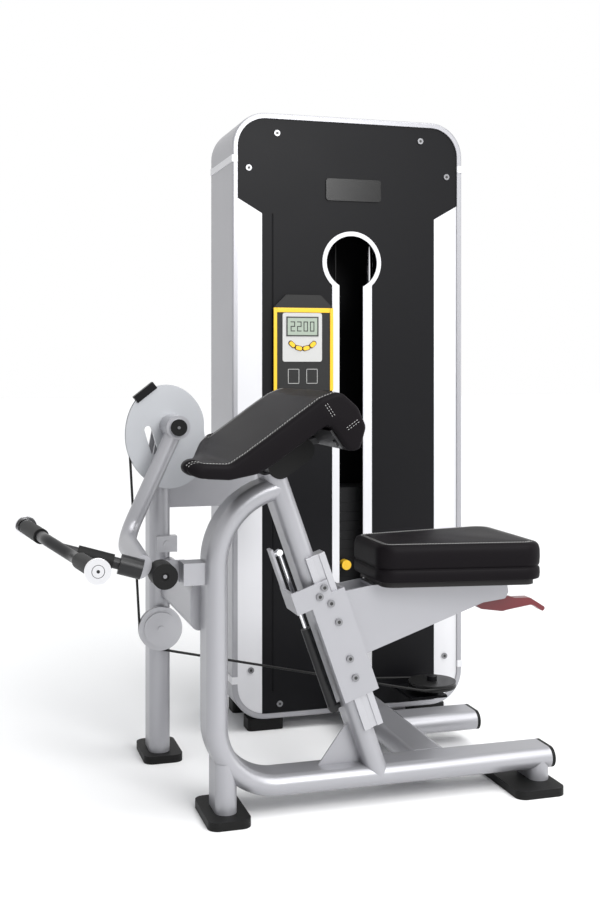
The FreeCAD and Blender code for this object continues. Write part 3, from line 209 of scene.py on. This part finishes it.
# World, floor, lights and camera
SOFT_COLOR = (0.95, 0.97, 1, 1)
SOFT_STRENGTH = 0.42
BRIGHT_COLOR = (1, 1, 1, 1)
BRIGHT_STRENGTH = 1.0
FLOOR_SIZE = 30
FLOOR_GAP = 0.2 * MM
LIGHT_TARGET = (-0.1, -0.3, 0.75)
KEY_PLACE = (0.4, -3.6, 2.4)
KEY_SIZE = 1.6
KEY_WATTS = 80
FILL_PLACE = (2.6, -1.8, 1.4)
FILL_SIZE = 2.0
FILL_WATTS = 20
SUN_STRENGTH = 2.5
SUN_SPREAD = 60
SUN_TILT = 24
SUN_TURN = 26
LENS_MM = 48
SENSOR_MM = 36
CAMERA_PLACE = (-1.038, -2.997, 0.950)
CAMERA_YAW = 16.7
CAMERA_SHIFT_Y = -0.0956
CAMERA_REACH = 100


def frame_origin():
    """The tower's middle, front face and floor, in the row frame."""
    low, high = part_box("rim_sides")
    return Vector(((low.x + high.x) / 2, low.y, cad_low.z))


ORIGIN = frame_origin()


def spot(x, y, z):
    """A point given in metres from the tower's middle, front face and floor."""
    return ORIGIN + Vector((x, y, z))


def node_group(name, inputs, outputs):
    """An empty shader group with number inputs, and its inner ends."""
    group = bpy.data.node_groups.new(name, "ShaderNodeTree")
    for socket in inputs:
        group.interface.new_socket(socket, in_out="INPUT", socket_type="NodeSocketFloat")
    for socket, kind in outputs:
        group.interface.new_socket(socket, in_out="OUTPUT", socket_type=kind)
    return group, group.nodes.new("NodeGroupInput"), group.nodes.new("NodeGroupOutput")


def grain_group():
    """A shared fine unevenness: a bump normal and a spread for the roughness."""
    group, inside, outside = node_group("fine_grain", ("Scale", "Depth", "Roughness", "Spread"),
                                        (("Normal", "NodeSocketVector"),
                                         ("Rough", "NodeSocketFloat")))
    make, link = group.nodes.new, group.links.new
    place = make("ShaderNodeTexCoord")
    fine, broad = make("ShaderNodeTexNoise"), make("ShaderNodeTexNoise")
    fine.inputs["Detail"].default_value = GRAIN_DETAIL
    broad.inputs["Scale"].default_value = BROAD_SCALE
    bump, spread = make("ShaderNodeBump"), make("ShaderNodeMath")
    spread.operation = "MULTIPLY_ADD"
    link(place.outputs["Object"], fine.inputs["Vector"])
    link(place.outputs["Object"], broad.inputs["Vector"])
    link(inside.outputs["Scale"], fine.inputs["Scale"])
    link(fine.outputs["Fac"], bump.inputs["Height"])
    link(inside.outputs["Depth"], bump.inputs["Distance"])
    link(bump.outputs["Normal"], outside.inputs["Normal"])
    link(broad.outputs["Fac"], spread.inputs[0])
    link(inside.outputs["Spread"], spread.inputs[1])
    link(inside.outputs["Roughness"], spread.inputs[2])
    link(spread.outputs["Value"], outside.inputs["Rough"])
    return group


def leather_group():
    """Leather's pebbled grain: small cells over a finer noise."""
    group, inside, outside = node_group("leather_grain", ("Scale", "Depth"),
                                        (("Normal", "NodeSocketVector"),))
    make, link = group.nodes.new, group.links.new
    place = make("ShaderNodeTexCoord")
    cells, fine = make("ShaderNodeTexVoronoi"), make("ShaderNodeTexNoise")
    fine.inputs["Scale"].default_value = LEATHER_FINE_SCALE
    total, bump = make("ShaderNodeMath"), make("ShaderNodeBump")
    total.operation = "MULTIPLY_ADD"
    total.inputs[1].default_value = LEATHER_CELL_SHARE
    link(place.outputs["Object"], cells.inputs["Vector"])
    link(place.outputs["Object"], fine.inputs["Vector"])
    link(inside.outputs["Scale"], cells.inputs["Scale"])
    link(cells.outputs["Distance"], total.inputs[0])
    link(fine.outputs["Fac"], total.inputs[2])
    link(total.outputs["Value"], bump.inputs["Height"])
    link(inside.outputs["Depth"], bump.inputs["Distance"])
    link(bump.outputs["Normal"], outside.inputs["Normal"])
    return group


GRAIN = grain_group()
LEATHER_GRAIN = leather_group()


def grained(name, color, specular, group, values):
    """A material whose bump comes from a shared grain."""
    material = bpy.data.materials.new(name)
    material.use_nodes = True
    tree = material.node_tree
    shader = tree.nodes["Principled BSDF"]
    shader.inputs["Base Color"].default_value = (*color, 1)
    shader.inputs["Specular IOR Level"].default_value = specular
    grain = tree.nodes.new("ShaderNodeGroup")
    grain.node_tree = group
    for socket, value in values.items():
        grain.inputs[socket].default_value = value
    tree.links.new(grain.outputs["Normal"], shader.inputs["Normal"])
    return material, shader, grain


def surface(name, color, roughness, metallic, scale, depth, specular, spread=0.06, coat=0.0):
    """A material with the shared fine grain."""
    values = {"Scale": scale, "Depth": depth * MM * MM, "Roughness": roughness - spread / 2,
              "Spread": spread}
    material, shader, grain = grained(name, color, specular, GRAIN, values)
    shader.inputs["Metallic"].default_value = metallic
    shader.inputs["Coat Weight"].default_value = coat
    material.node_tree.links.new(grain.outputs["Rough"], shader.inputs["Roughness"])
    return material


def leather():
    """The covers' leather, with its own grain."""
    values = {"Scale": LEATHER_CELLS, "Depth": LEATHER_DEPTH}
    material, shader, _ = grained("leather", LEATHER_COLOR, LEATHER_SPECULAR, LEATHER_GRAIN, values)
    shader.inputs["Roughness"].default_value = LEATHER_ROUGHNESS
    return material


def dress_nodes(materials):
    """Give each CAD node its slot's material and a small rounded edge."""
    chosen = {part["node"]: part["material_slot"] for part in frame["record"]["subparts"]}
    for name, node in nodes.items():
        node.data.materials.clear()
        node.data.materials.append(materials[OWN_LOOK.get(name, chosen[name])])
        custom = node.data.attributes.get("custom_normal")
        if custom is not None:
            node.data.attributes.remove(custom)
        node.data.shade_smooth()
        weld = node.modifiers.new("join", "WELD")
        weld.merge_threshold = JOIN_DISTANCE
        edge = node.modifiers.new("edge", "BEVEL")
        edge.width = EDGE_WIDTH
        edge.segments = EDGE_STEPS
        edge.limit_method = "ANGLE"
        edge.angle_limit = math.radians(EDGE_ANGLE)
        node.modifiers.new("normals", "WEIGHTED_NORMAL")


def new_object(name, data):
    """An object in the scene's collection."""
    made = bpy.data.objects.new(name, data)
    bpy.context.scene.collection.objects.link(made)
    return made


def new_piece(name, mesh_data, material, body, flat=False):
    """A new object that rides on a CAD body."""
    data = bpy.data.meshes.new(name)
    mesh_data.normal_update()
    mesh_data.to_mesh(data)
    mesh_data.free()
    piece = new_object(name, data)
    data.materials.append(material)
    if not flat:
        data.shade_smooth()
    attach(piece, body)
    return piece


def section(node_name, point, normal):
    """The outline of a CAD node cut by a plane, as points in order round it."""
    cut = bmesh.new()
    cut.from_mesh(nodes[node_name].data)
    bmesh.ops.remove_doubles(cut, verts=cut.verts, dist=JOIN_DISTANCE)
    geometry = list(cut.verts) + list(cut.edges) + list(cut.faces)
    made = bmesh.ops.bisect_plane(cut, geom=geometry, plane_co=point, plane_no=normal,
                                  clear_inner=True, clear_outer=True)
    edges = [item for item in made["geom_cut"] if isinstance(item, bmesh.types.BMEdge)]
    first = edges[0].verts[0]
    loop, used, here = [first.co.copy()], set(), first
    while True:
        ahead = [edge for edge in here.link_edges if edge in edges and edge not in used]
        if not ahead:
            break
        used.add(ahead[0])
        here = ahead[0].other_vert(here)
        if here is first:
            break
        loop.append(here.co.copy())
    cut.free()
    return loop


def even_loop(loop, count):
    """A closed outline with evenly spaced points."""
    closed = loop + [loop[0]]
    lengths = [0.0]
    for first, second in zip(closed, closed[1:]):
        lengths.append(lengths[-1] + (second - first).length)
    points, index = [], 0
    for step in range(count):
        target = lengths[-1] * step / count
        while lengths[index + 1] < target:
            index += 1
        span = lengths[index + 1] - lengths[index]
        share = (target - lengths[index]) / span if span else 0
        points.append(closed[index].lerp(closed[index + 1], share))
    return points


def outward(points, axis):
    """The outward direction at each point of a closed outline that lies square to an axis."""
    area = sum((a.cross(b)).dot(axis) for a, b in zip(points, points[1:] + points[:1]))
    sign = 1 if area > 0 else -1
    found = []
    for index in range(len(points)):
        run = points[(index + 1) % len(points)] - points[index - 1]
        found.append((run.cross(axis) * sign).normalized())
    return found


def bridge(mesh, rings):
    """Faces between rings of the same number of points."""
    for lower, upper in zip(rings, rings[1:]):
        for index in range(len(lower)):
            after = (index + 1) % len(lower)
            mesh.faces.new((lower[index], lower[after], upper[after], upper[index]))


def loft(rings):
    """A closed mesh through rings, with a face at each end."""
    mesh = bmesh.new()
    rows = [[mesh.verts.new(point) for point in ring] for ring in rings]
    bridge(mesh, rows)
    mesh.faces.new(list(reversed(rows[0])))
    mesh.faces.new(rows[-1])
    bmesh.ops.recalc_face_normals(mesh, faces=mesh.faces)
    return mesh


def seam_dip(distance):
    """How deep the cover is drawn in beside a seam."""
    return SEAM_DEPTH * math.exp(-((distance - SEAM_INSET) / SEAM_WIDTH) ** 2)


def wrinkle(point):
    """A soft unevenness of the cover."""
    return WRINKLE * noise.noise(point * WRINKLE_SCALE)


def add_stitches(mesh, line, normals):
    """Short raised threads along a line."""
    travelled, due = 0.0, STITCH_PITCH / 2
    for index in range(len(line) - 1):
        start, end = line[index], line[index + 1]
        length = (end - start).length
        while length and travelled + length >= due:
            share = (due - travelled) / length
            place = start.lerp(end, share) + normals[index] * (STITCH_RADIUS * STITCH_LIFT_SHARE)
            run = (end - start).normalized()
            side = normals[index].cross(run).normalized()
            turn = Matrix((run, side, run.cross(side))).transposed().to_4x4()
            size = Matrix.Diagonal((STITCH_LENGTH / 2, STITCH_RADIUS, STITCH_RADIUS, 1))
            bmesh.ops.create_uvsphere(mesh, u_segments=STITCH_SIDES, v_segments=STITCH_RINGS,
                                      radius=1, matrix=Matrix.Translation(place) @ turn @ size)
            due += STITCH_PITCH
        travelled += length


def lip_end(low, high, y):
    """How far left the arm pad reaches at a place along it, read from the CAD."""
    held = min(max(y, low.y + LIP_READ), high.y - LIP_READ)
    cut = section("arm_pad", Vector((0, held, 0)), BACKWARD)
    return min(point.x for point in cut) + abs(y - held)


def lip_outline(base, left):
    """The pad's outline with a rounded lip that ends at a given place."""
    limit = left + LIP_ROUND
    count = len(base)
    cut = [point.x < limit for point in base]
    first = next(index for index in range(count) if cut[index] and not cut[index - 1])
    length = next(step for step in range(count) if not cut[(first + step) % count])
    before, after = base[first - 1], base[(first + length) % count]
    middle, half = (before.z + after.z) / 2, (before.z - after.z) / 2
    outline = [point.copy() for point in base]
    for step in range(length):
        angle = math.pi * (step + 1) / (length + 1)
        outline[(first + step) % count] = Vector((limit - LIP_ROUND * math.sin(angle), 0,
                                                  middle + half * math.cos(angle)))
    return outline


def fullness(low, high, y):
    """The cover's height at a place along it: zero in the middle and less towards its ends."""
    share = (y - low.y) / (high.y - low.y)
    return PUFF * math.sin(math.pi * share) ** 0.5 - PUFF


def arm_pad_base(low):
    """The arm pad's outline near its near end, where the lip is longest."""
    place = Vector((0, low.y + LIP_LONGEST, 0))
    return even_loop(section("arm_pad", place, BACKWARD), PAD_POINTS)


def arm_pad_ring(base, low, high, y, inset):
    """The cover's outline at a place along the arm pad, drawn in, and its outward directions."""
    outline = lip_outline(base, lip_end(low, high, y))
    normals = outward(outline, BACKWARD)
    ring = []
    for point, normal in zip(outline, normals):
        place = Vector((point.x, y, point.z))
        rise = (fullness(low, high, y) + wrinkle(place)) * max(0.0, normal.z)
        ring.append(place + normal * (rise - inset))
    return ring, normals


def arm_pad_rings(base, low, high):
    """Outlines across the arm pad: rounded at its ends, drawn in at the seams, full between."""
    span = high.y - low.y
    near = [step * MM for step in PAD_STEPS_MM]
    stations = near + [span / 2] + [span - step for step in reversed(near)]
    rings = []
    for station in stations:
        distance = min(station, span - station)
        inset = seam_dip(distance)
        if distance < ROLL:
            inset += ROLL - math.sqrt(ROLL ** 2 - (ROLL - distance) ** 2)
        rings.append(arm_pad_ring(base, low, high, low.y + station, inset)[0])
    return rings


def upper_run(normals):
    """The numbers of an outline's points that face up, in order."""
    count = len(normals)
    up = [normal.z > UP_FACING for normal in normals]
    first = next(index for index in range(count) if up[index] and not up[index - 1])
    return [index % count for index in range(first, first + count) if up[index % count]]


def arm_pad(materials):
    """The arm pad's cover and its double white stitching."""
    low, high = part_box("arm_pad")
    base = arm_pad_base(low)
    rings = arm_pad_rings(base, low, high)
    piece = new_piece("arm_pad_cover", loft(rings), materials["leather"], "frame")
    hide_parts("arm_pad")
    threads = bmesh.new()
    for end_y, inward in ((low.y, 1), (high.y, -1)):
        for side in (-1, 1):
            distance = SEAM_INSET + side * ROW_HALF_GAP
            ring, normals = arm_pad_ring(base, low, high, end_y + inward * distance,
                                         seam_dip(distance))
            run = upper_run(normals)
            add_stitches(threads, [ring[index] for index in run], [normals[index] for index in run])
    for (x_first, z_first), (x_second, z_second) in PAD_END_SEAMS:
        first, second = spot(x_first, PAD_END_Y, z_first), spot(x_second, PAD_END_Y, z_second)
        across = (second - first).normalized().cross(FRONTWARD)
        for side in (-1, 1):
            shift = across * (side * ROW_HALF_GAP)
            line = [first + shift, (first + second) / 2 + shift, second + shift]
            add_stitches(threads, line, [FRONTWARD] * len(line))
    new_piece("arm_pad_stitching", threads, materials["thread"], "frame")


def seat_rings(low, high):
    """Outlines up the seat cushion, from its underside to the middle of its crowned top."""
    line_z = spot(0, 0, SEAT_LINE_Z).z
    middle = (low + high) / 2
    cut_at = Vector((middle.x, middle.y, line_z + SEAT_OUTLINE_ABOVE))
    outline = even_loop(section("seat_cushion", cut_at, UPWARD), SEAT_POINTS)
    normals = outward(outline, UPWARD)
    top = high.z - SEAT_CROWN
    rings = []
    for base_z, rows in ((low.z, SEAT_FOOT_ROWS_MM), (line_z, SEAT_LINE_ROWS_MM),
                         (top, SEAT_TOP_ROWS_MM)):
        for height, inset in rows:
            ring = []
            for point, normal in zip(outline, normals):
                flat = Vector((point.x, point.y, base_z + height * MM))
                place = flat - normal * (inset * MM)
                ring.append(place + normal * wrinkle(place) * SEAT_SIDE_WRINKLE)
            rings.append(ring)
    last = rings[-1]
    for share in SEAT_CROWN_SHARES:
        ring = []
        for point in last:
            place = point.lerp(Vector((middle.x, middle.y, point.z)), share)
            lift = SEAT_CROWN_REST * math.sin(math.pi / 2 * share)
            ring.append(place + UPWARD * (lift + wrinkle(place)))
        rings.append(ring)
    return rings, outline, normals, top


def seat_cushion(materials):
    """The seat cushion's cover and its double white stitching."""
    low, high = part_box("seat_cushion")
    rings, outline, normals, top = seat_rings(low, high)
    piece = new_piece("seat_cushion_cover", loft(rings), materials["leather"], "seat")
    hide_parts("seat_cushion")
    threads = bmesh.new()
    for side in (-1, 1):
        inset = SEAM_INSET + side * ROW_HALF_GAP
        line = [Vector((point.x, point.y, top)) - normal * inset
                for point, normal in zip(outline, normals)]
        line.append(line[0])
        add_stitches(threads, line, [UPWARD] * len(line))
    new_piece("seat_stitching", threads, materials["thread"], "seat")


def add_block(mesh, low, high):
    """A small block between two corners."""
    low, high = Vector(low), Vector(high)
    matrix = Matrix.Translation((low + high) / 2) @ Matrix.Diagonal((*(high - low), 1))
    bmesh.ops.create_cube(mesh, size=1, matrix=matrix)


def add_bars(mesh, bars, front, back):
    """Blocks between two depths, from bars given by their corners seen from the front."""
    for (x_low, z_low), (x_high, z_high) in bars:
        add_block(mesh, (x_low, front, z_low), (x_high, back, z_high))


def digit_bars(left, bottom):
    """A digit's seven bars."""
    right, middle, top = left + DIGIT_WIDTH, bottom + DIGIT_HEIGHT / 2, bottom + DIGIT_HEIGHT
    return (((left, top - DIGIT_BAR), (right, top)),
            ((left, middle), (left + DIGIT_BAR, top)),
            ((right - DIGIT_BAR, middle), (right, top)),
            ((left, middle - DIGIT_BAR / 2), (right, middle + DIGIT_BAR / 2)),
            ((left, bottom), (left + DIGIT_BAR, middle)),
            ((right - DIGIT_BAR, bottom), (right, middle)),
            ((left, bottom), (right, bottom + DIGIT_BAR)))


def display_digits(materials):
    """Plain digits on the console's display."""
    low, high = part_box("console_display")
    middle = (low + high) / 2
    left = middle.x - (DIGIT_PITCH * (len(DIGIT_TEXT) - 1) + DIGIT_WIDTH) / 2
    mesh = bmesh.new()
    for place, digit in enumerate(DIGIT_TEXT):
        bars = digit_bars(left + place * DIGIT_PITCH, middle.z - DIGIT_HEIGHT / 2)
        lit = [bar for on, bar in zip(DIGIT_BARS[digit], bars) if on]
        add_bars(mesh, lit, low.y - PRINT_LIFT, low.y)
    new_piece("display_digits", mesh, materials["ink_and_socket_shade"], "frame", flat=True)


def display_bezel(materials):
    """The dark edge round the display."""
    low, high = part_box("console_display")
    left, right = low.x - BEZEL_EDGE, high.x + BEZEL_EDGE
    bars = (((left, high.z), (right, high.z + BEZEL_EDGE)),
            ((left, low.z - BEZEL_EDGE), (right, low.z)),
            ((left, low.z), (low.x, high.z)),
            ((high.x, low.z), (right, high.z)))
    mesh = bmesh.new()
    add_bars(mesh, bars, low.y - BEZEL_FRONT, low.y + BEZEL_BACK)
    new_piece("display_bezel", mesh, materials["ink_and_socket_shade"], "frame", flat=True)


def petal_outlines(materials):
    """The dark outline round each of the console's petal buttons."""
    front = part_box("console_label")[0].y
    mesh = bmesh.new()
    for name in PETALS:
        low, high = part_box(name)
        middle = (low + high) / 2
        outline = even_loop(section(name, middle, BACKWARD), PETAL_POINTS)
        rows = []
        for y, grow in ((front, PETAL_OUTER), (front - PRINT_LIFT, PETAL_OUTER),
                        (front - PRINT_LIFT, PETAL_INNER), (front, PETAL_INNER)):
            row = []
            for point in outline:
                row.append(mesh.verts.new((middle.x + (point.x - middle.x) * grow, y,
                                           middle.z + (point.z - middle.z) * grow)))
            rows.append(row)
        bridge(mesh, rows + [rows[0]])
    bmesh.ops.recalc_face_normals(mesh, faces=mesh.faces)
    new_piece("petal_outlines", mesh, materials["brown_ink"], "frame", flat=True)


def console_marks(materials):
    """Two plain framed fields below the console's label."""
    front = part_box("console_body")[0].y
    mesh = bmesh.new()
    for x, z in FIELD_PLACES:
        middle = spot(x, 0, z)
        left, right = middle.x - FIELD_HALF_WIDTH, middle.x + FIELD_HALF_WIDTH
        bottom, top = middle.z - FIELD_HALF_HEIGHT, middle.z + FIELD_HALF_HEIGHT
        bars = (((left, bottom), (right, bottom + FIELD_LINE)),
                ((left, top - FIELD_LINE), (right, top)),
                ((left, bottom), (left + FIELD_LINE, top)),
                ((right - FIELD_LINE, bottom), (right, top)))
        add_bars(mesh, bars, front - PRINT_LIFT, front)
    new_piece("console_fields", mesh, materials["label_white"], "frame", flat=True)


def add_disc(mesh, matrix, radius, thick, sides=DISC_SIDES):
    """A flat disc about a matrix's upright axis."""
    bmesh.ops.create_cone(mesh, cap_ends=True, segments=sides, radius1=radius, radius2=radius,
                          depth=thick, matrix=matrix)


def add_ring(mesh, matrix, inner, outer, half_thick):
    """A flat ring about a matrix's upright axis."""
    rows = []
    for radius, level in ((inner, -half_thick), (inner, half_thick), (outer, half_thick),
                          (outer, -half_thick)):
        row = []
        for step in range(ROUND_SIDES):
            turn = math.tau * step / ROUND_SIDES
            place = Vector((radius * math.cos(turn), radius * math.sin(turn), level))
            row.append(mesh.verts.new(matrix @ place))
        rows.append(row)
    bridge(mesh, rows + [rows[0]])
    bmesh.ops.recalc_face_normals(mesh, faces=mesh.faces)


def screw_socket_shade(name, places, front, body, material):
    """Flat dark six-sided discs on screw heads: painted shade in place of the sockets' recesses."""
    mesh = bmesh.new()
    for x, z in places:
        place = Vector((ORIGIN.x + x, front - SOCKET_OUT, ORIGIN.z + z))
        add_disc(mesh, Matrix.Translation(place) @ QUARTER_TURN, SOCKET_RADIUS, SOCKET_THICK,
                 SOCKET_SIDES)
    new_piece(name, mesh, material, body, flat=True)


def all_socket_shade(materials):
    """The painted socket shade on the tower's and the carriage's screws."""
    tower = [(side * x, z) for x, z in TOWER_SCREWS for side in (-1, 1)]
    screw_socket_shade("tower_socket_shade", tower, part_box("tower_screws")[0].y, "frame", materials["ink_and_socket_shade"])
    screw_socket_shade("carriage_socket_shade", CARRIAGE_SCREWS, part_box("carriage_screws")[0].y, "seat",
                  materials["ink_and_socket_shade"])


def handle_end_marks(materials):
    """A fine ring and a small screw on each of the handle's bright end discs."""
    mesh = bmesh.new()
    for face, further in HANDLE_ENDS:
        axis = (spot(*face) - spot(*further)).normalized()
        turn = axis.to_track_quat("Z", "Y").to_matrix().to_4x4()
        matrix = Matrix.Translation(spot(*face)) @ turn
        add_ring(mesh, matrix, MARK_INNER, MARK_OUTER, MARK_HALF_THICK)
        add_disc(mesh, matrix, MARK_SCREW_RADIUS, MARK_SCREW_THICK)
    new_piece("handle_end_marks", mesh, materials["black_steel"], "arm", flat=True)


def round_piece(name, place, size, material, body):
    """A flat disc that faces the front, as a piece of its own."""
    mesh = bmesh.new()
    add_disc(mesh, Matrix.Translation(place) @ QUARTER_TURN, *size)
    new_piece(name, mesh, material, body, flat=True)


def cap_and_screws(materials):
    """The black cap with its screw on the arm's hub, and the screw in the arm's stop."""
    hub = spot(HUB_PLACE[0], 0, HUB_PLACE[1])
    hub.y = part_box("arm_hub")[0].y
    round_piece("hub_cap", hub, (CAP_RADIUS, CAP_THICK), materials["rubber"], "arm")
    round_piece("hub_cap_screw", hub + FRONTWARD * CAP_SCREW_OUT,
                (CAP_SCREW_RADIUS, CAP_SCREW_THICK), materials["screw_steel"], "arm")
    stop = spot(STOP_PLACE[0], 0, STOP_PLACE[1])
    stop.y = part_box("arm_stop")[0].y + STOP_RECESS
    round_piece("stop_screw", stop, (STOP_SCREW_RADIUS, STOP_SCREW_THICK),
                materials["screw_steel"], "frame")


def white_world():
    """A world that looks white to the camera and in reflections, and lights the scene softly."""
    world = bpy.data.worlds.new("white")
    bpy.context.scene.world = world
    world.use_nodes = True
    tree = world.node_tree
    make, link = tree.nodes.new, tree.links.new
    soft = tree.nodes["Background"]
    soft.inputs["Color"].default_value = SOFT_COLOR
    soft.inputs["Strength"].default_value = SOFT_STRENGTH
    bright = make("ShaderNodeBackground")
    bright.inputs["Color"].default_value = BRIGHT_COLOR
    bright.inputs["Strength"].default_value = BRIGHT_STRENGTH
    path, mix = make("ShaderNodeLightPath"), make("ShaderNodeMixShader")
    seen, direct = make("ShaderNodeMath"), make("ShaderNodeMath")
    seen.operation = "MAXIMUM"
    direct.operation = "MAXIMUM"
    link(path.outputs["Is Camera Ray"], seen.inputs[0])
    link(path.outputs["Is Transmission Ray"], seen.inputs[1])
    link(seen.outputs["Value"], direct.inputs[0])
    link(path.outputs["Is Glossy Ray"], direct.inputs[1])
    link(direct.outputs["Value"], mix.inputs["Fac"])
    link(soft.outputs["Background"], mix.inputs[1])
    link(bright.outputs["Background"], mix.inputs[2])
    link(mix.outputs["Shader"], tree.nodes["World Output"].inputs["Surface"])


def floor(material):
    """A plain pale floor."""
    mesh = bmesh.new()
    bmesh.ops.create_grid(mesh, x_segments=1, y_segments=1, size=FLOOR_SIZE)
    data = bpy.data.meshes.new("floor")
    mesh.to_mesh(data)
    mesh.free()
    plane = new_object("floor", data)
    plane.location.z = cad_low.z - FLOOR_GAP
    data.materials.append(material)


def area_light(name, place, size, power):
    """A soft square light that faces the machine's middle."""
    data = bpy.data.lights.new(name, "AREA")
    data.size = size
    data.energy = power
    light = new_object(name, data)
    light.location = spot(*place)
    light.rotation_mode = "QUATERNION"
    light.rotation_quaternion = (spot(*LIGHT_TARGET) - spot(*place)).to_track_quat("-Z", "Y")


def sun():
    """A soft sun that lights the floor evenly."""
    data = bpy.data.lights.new("sun", "SUN")
    data.energy = SUN_STRENGTH
    data.angle = math.radians(SUN_SPREAD)
    light = new_object("sun", data)
    light.rotation_euler = (math.radians(SUN_TILT), 0, math.radians(SUN_TURN))


def lights():
    """A key from the front, a fill from the right and a soft sun from above."""
    area_light("key", KEY_PLACE, KEY_SIZE, KEY_WATTS)
    area_light("fill", FILL_PLACE, FILL_SIZE, FILL_WATTS)
    sun()


def camera():
    """The photo's view: level, turned to the right, with the picture shifted up."""
    data = bpy.data.cameras.new("camera")
    data.lens = LENS_MM
    data.sensor_width = SENSOR_MM
    data.sensor_fit = "AUTO"
    data.shift_y = CAMERA_SHIFT_Y
    data.clip_end = CAMERA_REACH
    eye = new_object("camera", data)
    eye.location = spot(*CAMERA_PLACE)
    eye.rotation_euler = (math.pi / 2, 0, math.radians(-CAMERA_YAW))
    bpy.context.scene.camera = eye


materials = {name: surface(name, *values) for name, values in PAINTS.items()}
materials["leather"] = leather()
dress_nodes(materials)
arm_pad(materials)
seat_cushion(materials)
petal_outlines(materials)
display_bezel(materials)
display_digits(materials)
console_marks(materials)
all_socket_shade(materials)
handle_end_marks(materials)
cap_and_screws(materials)
white_world()
floor(materials["floor"])
lights()
camera()
bpy.context.scene.view_settings.view_transform = "Standard"
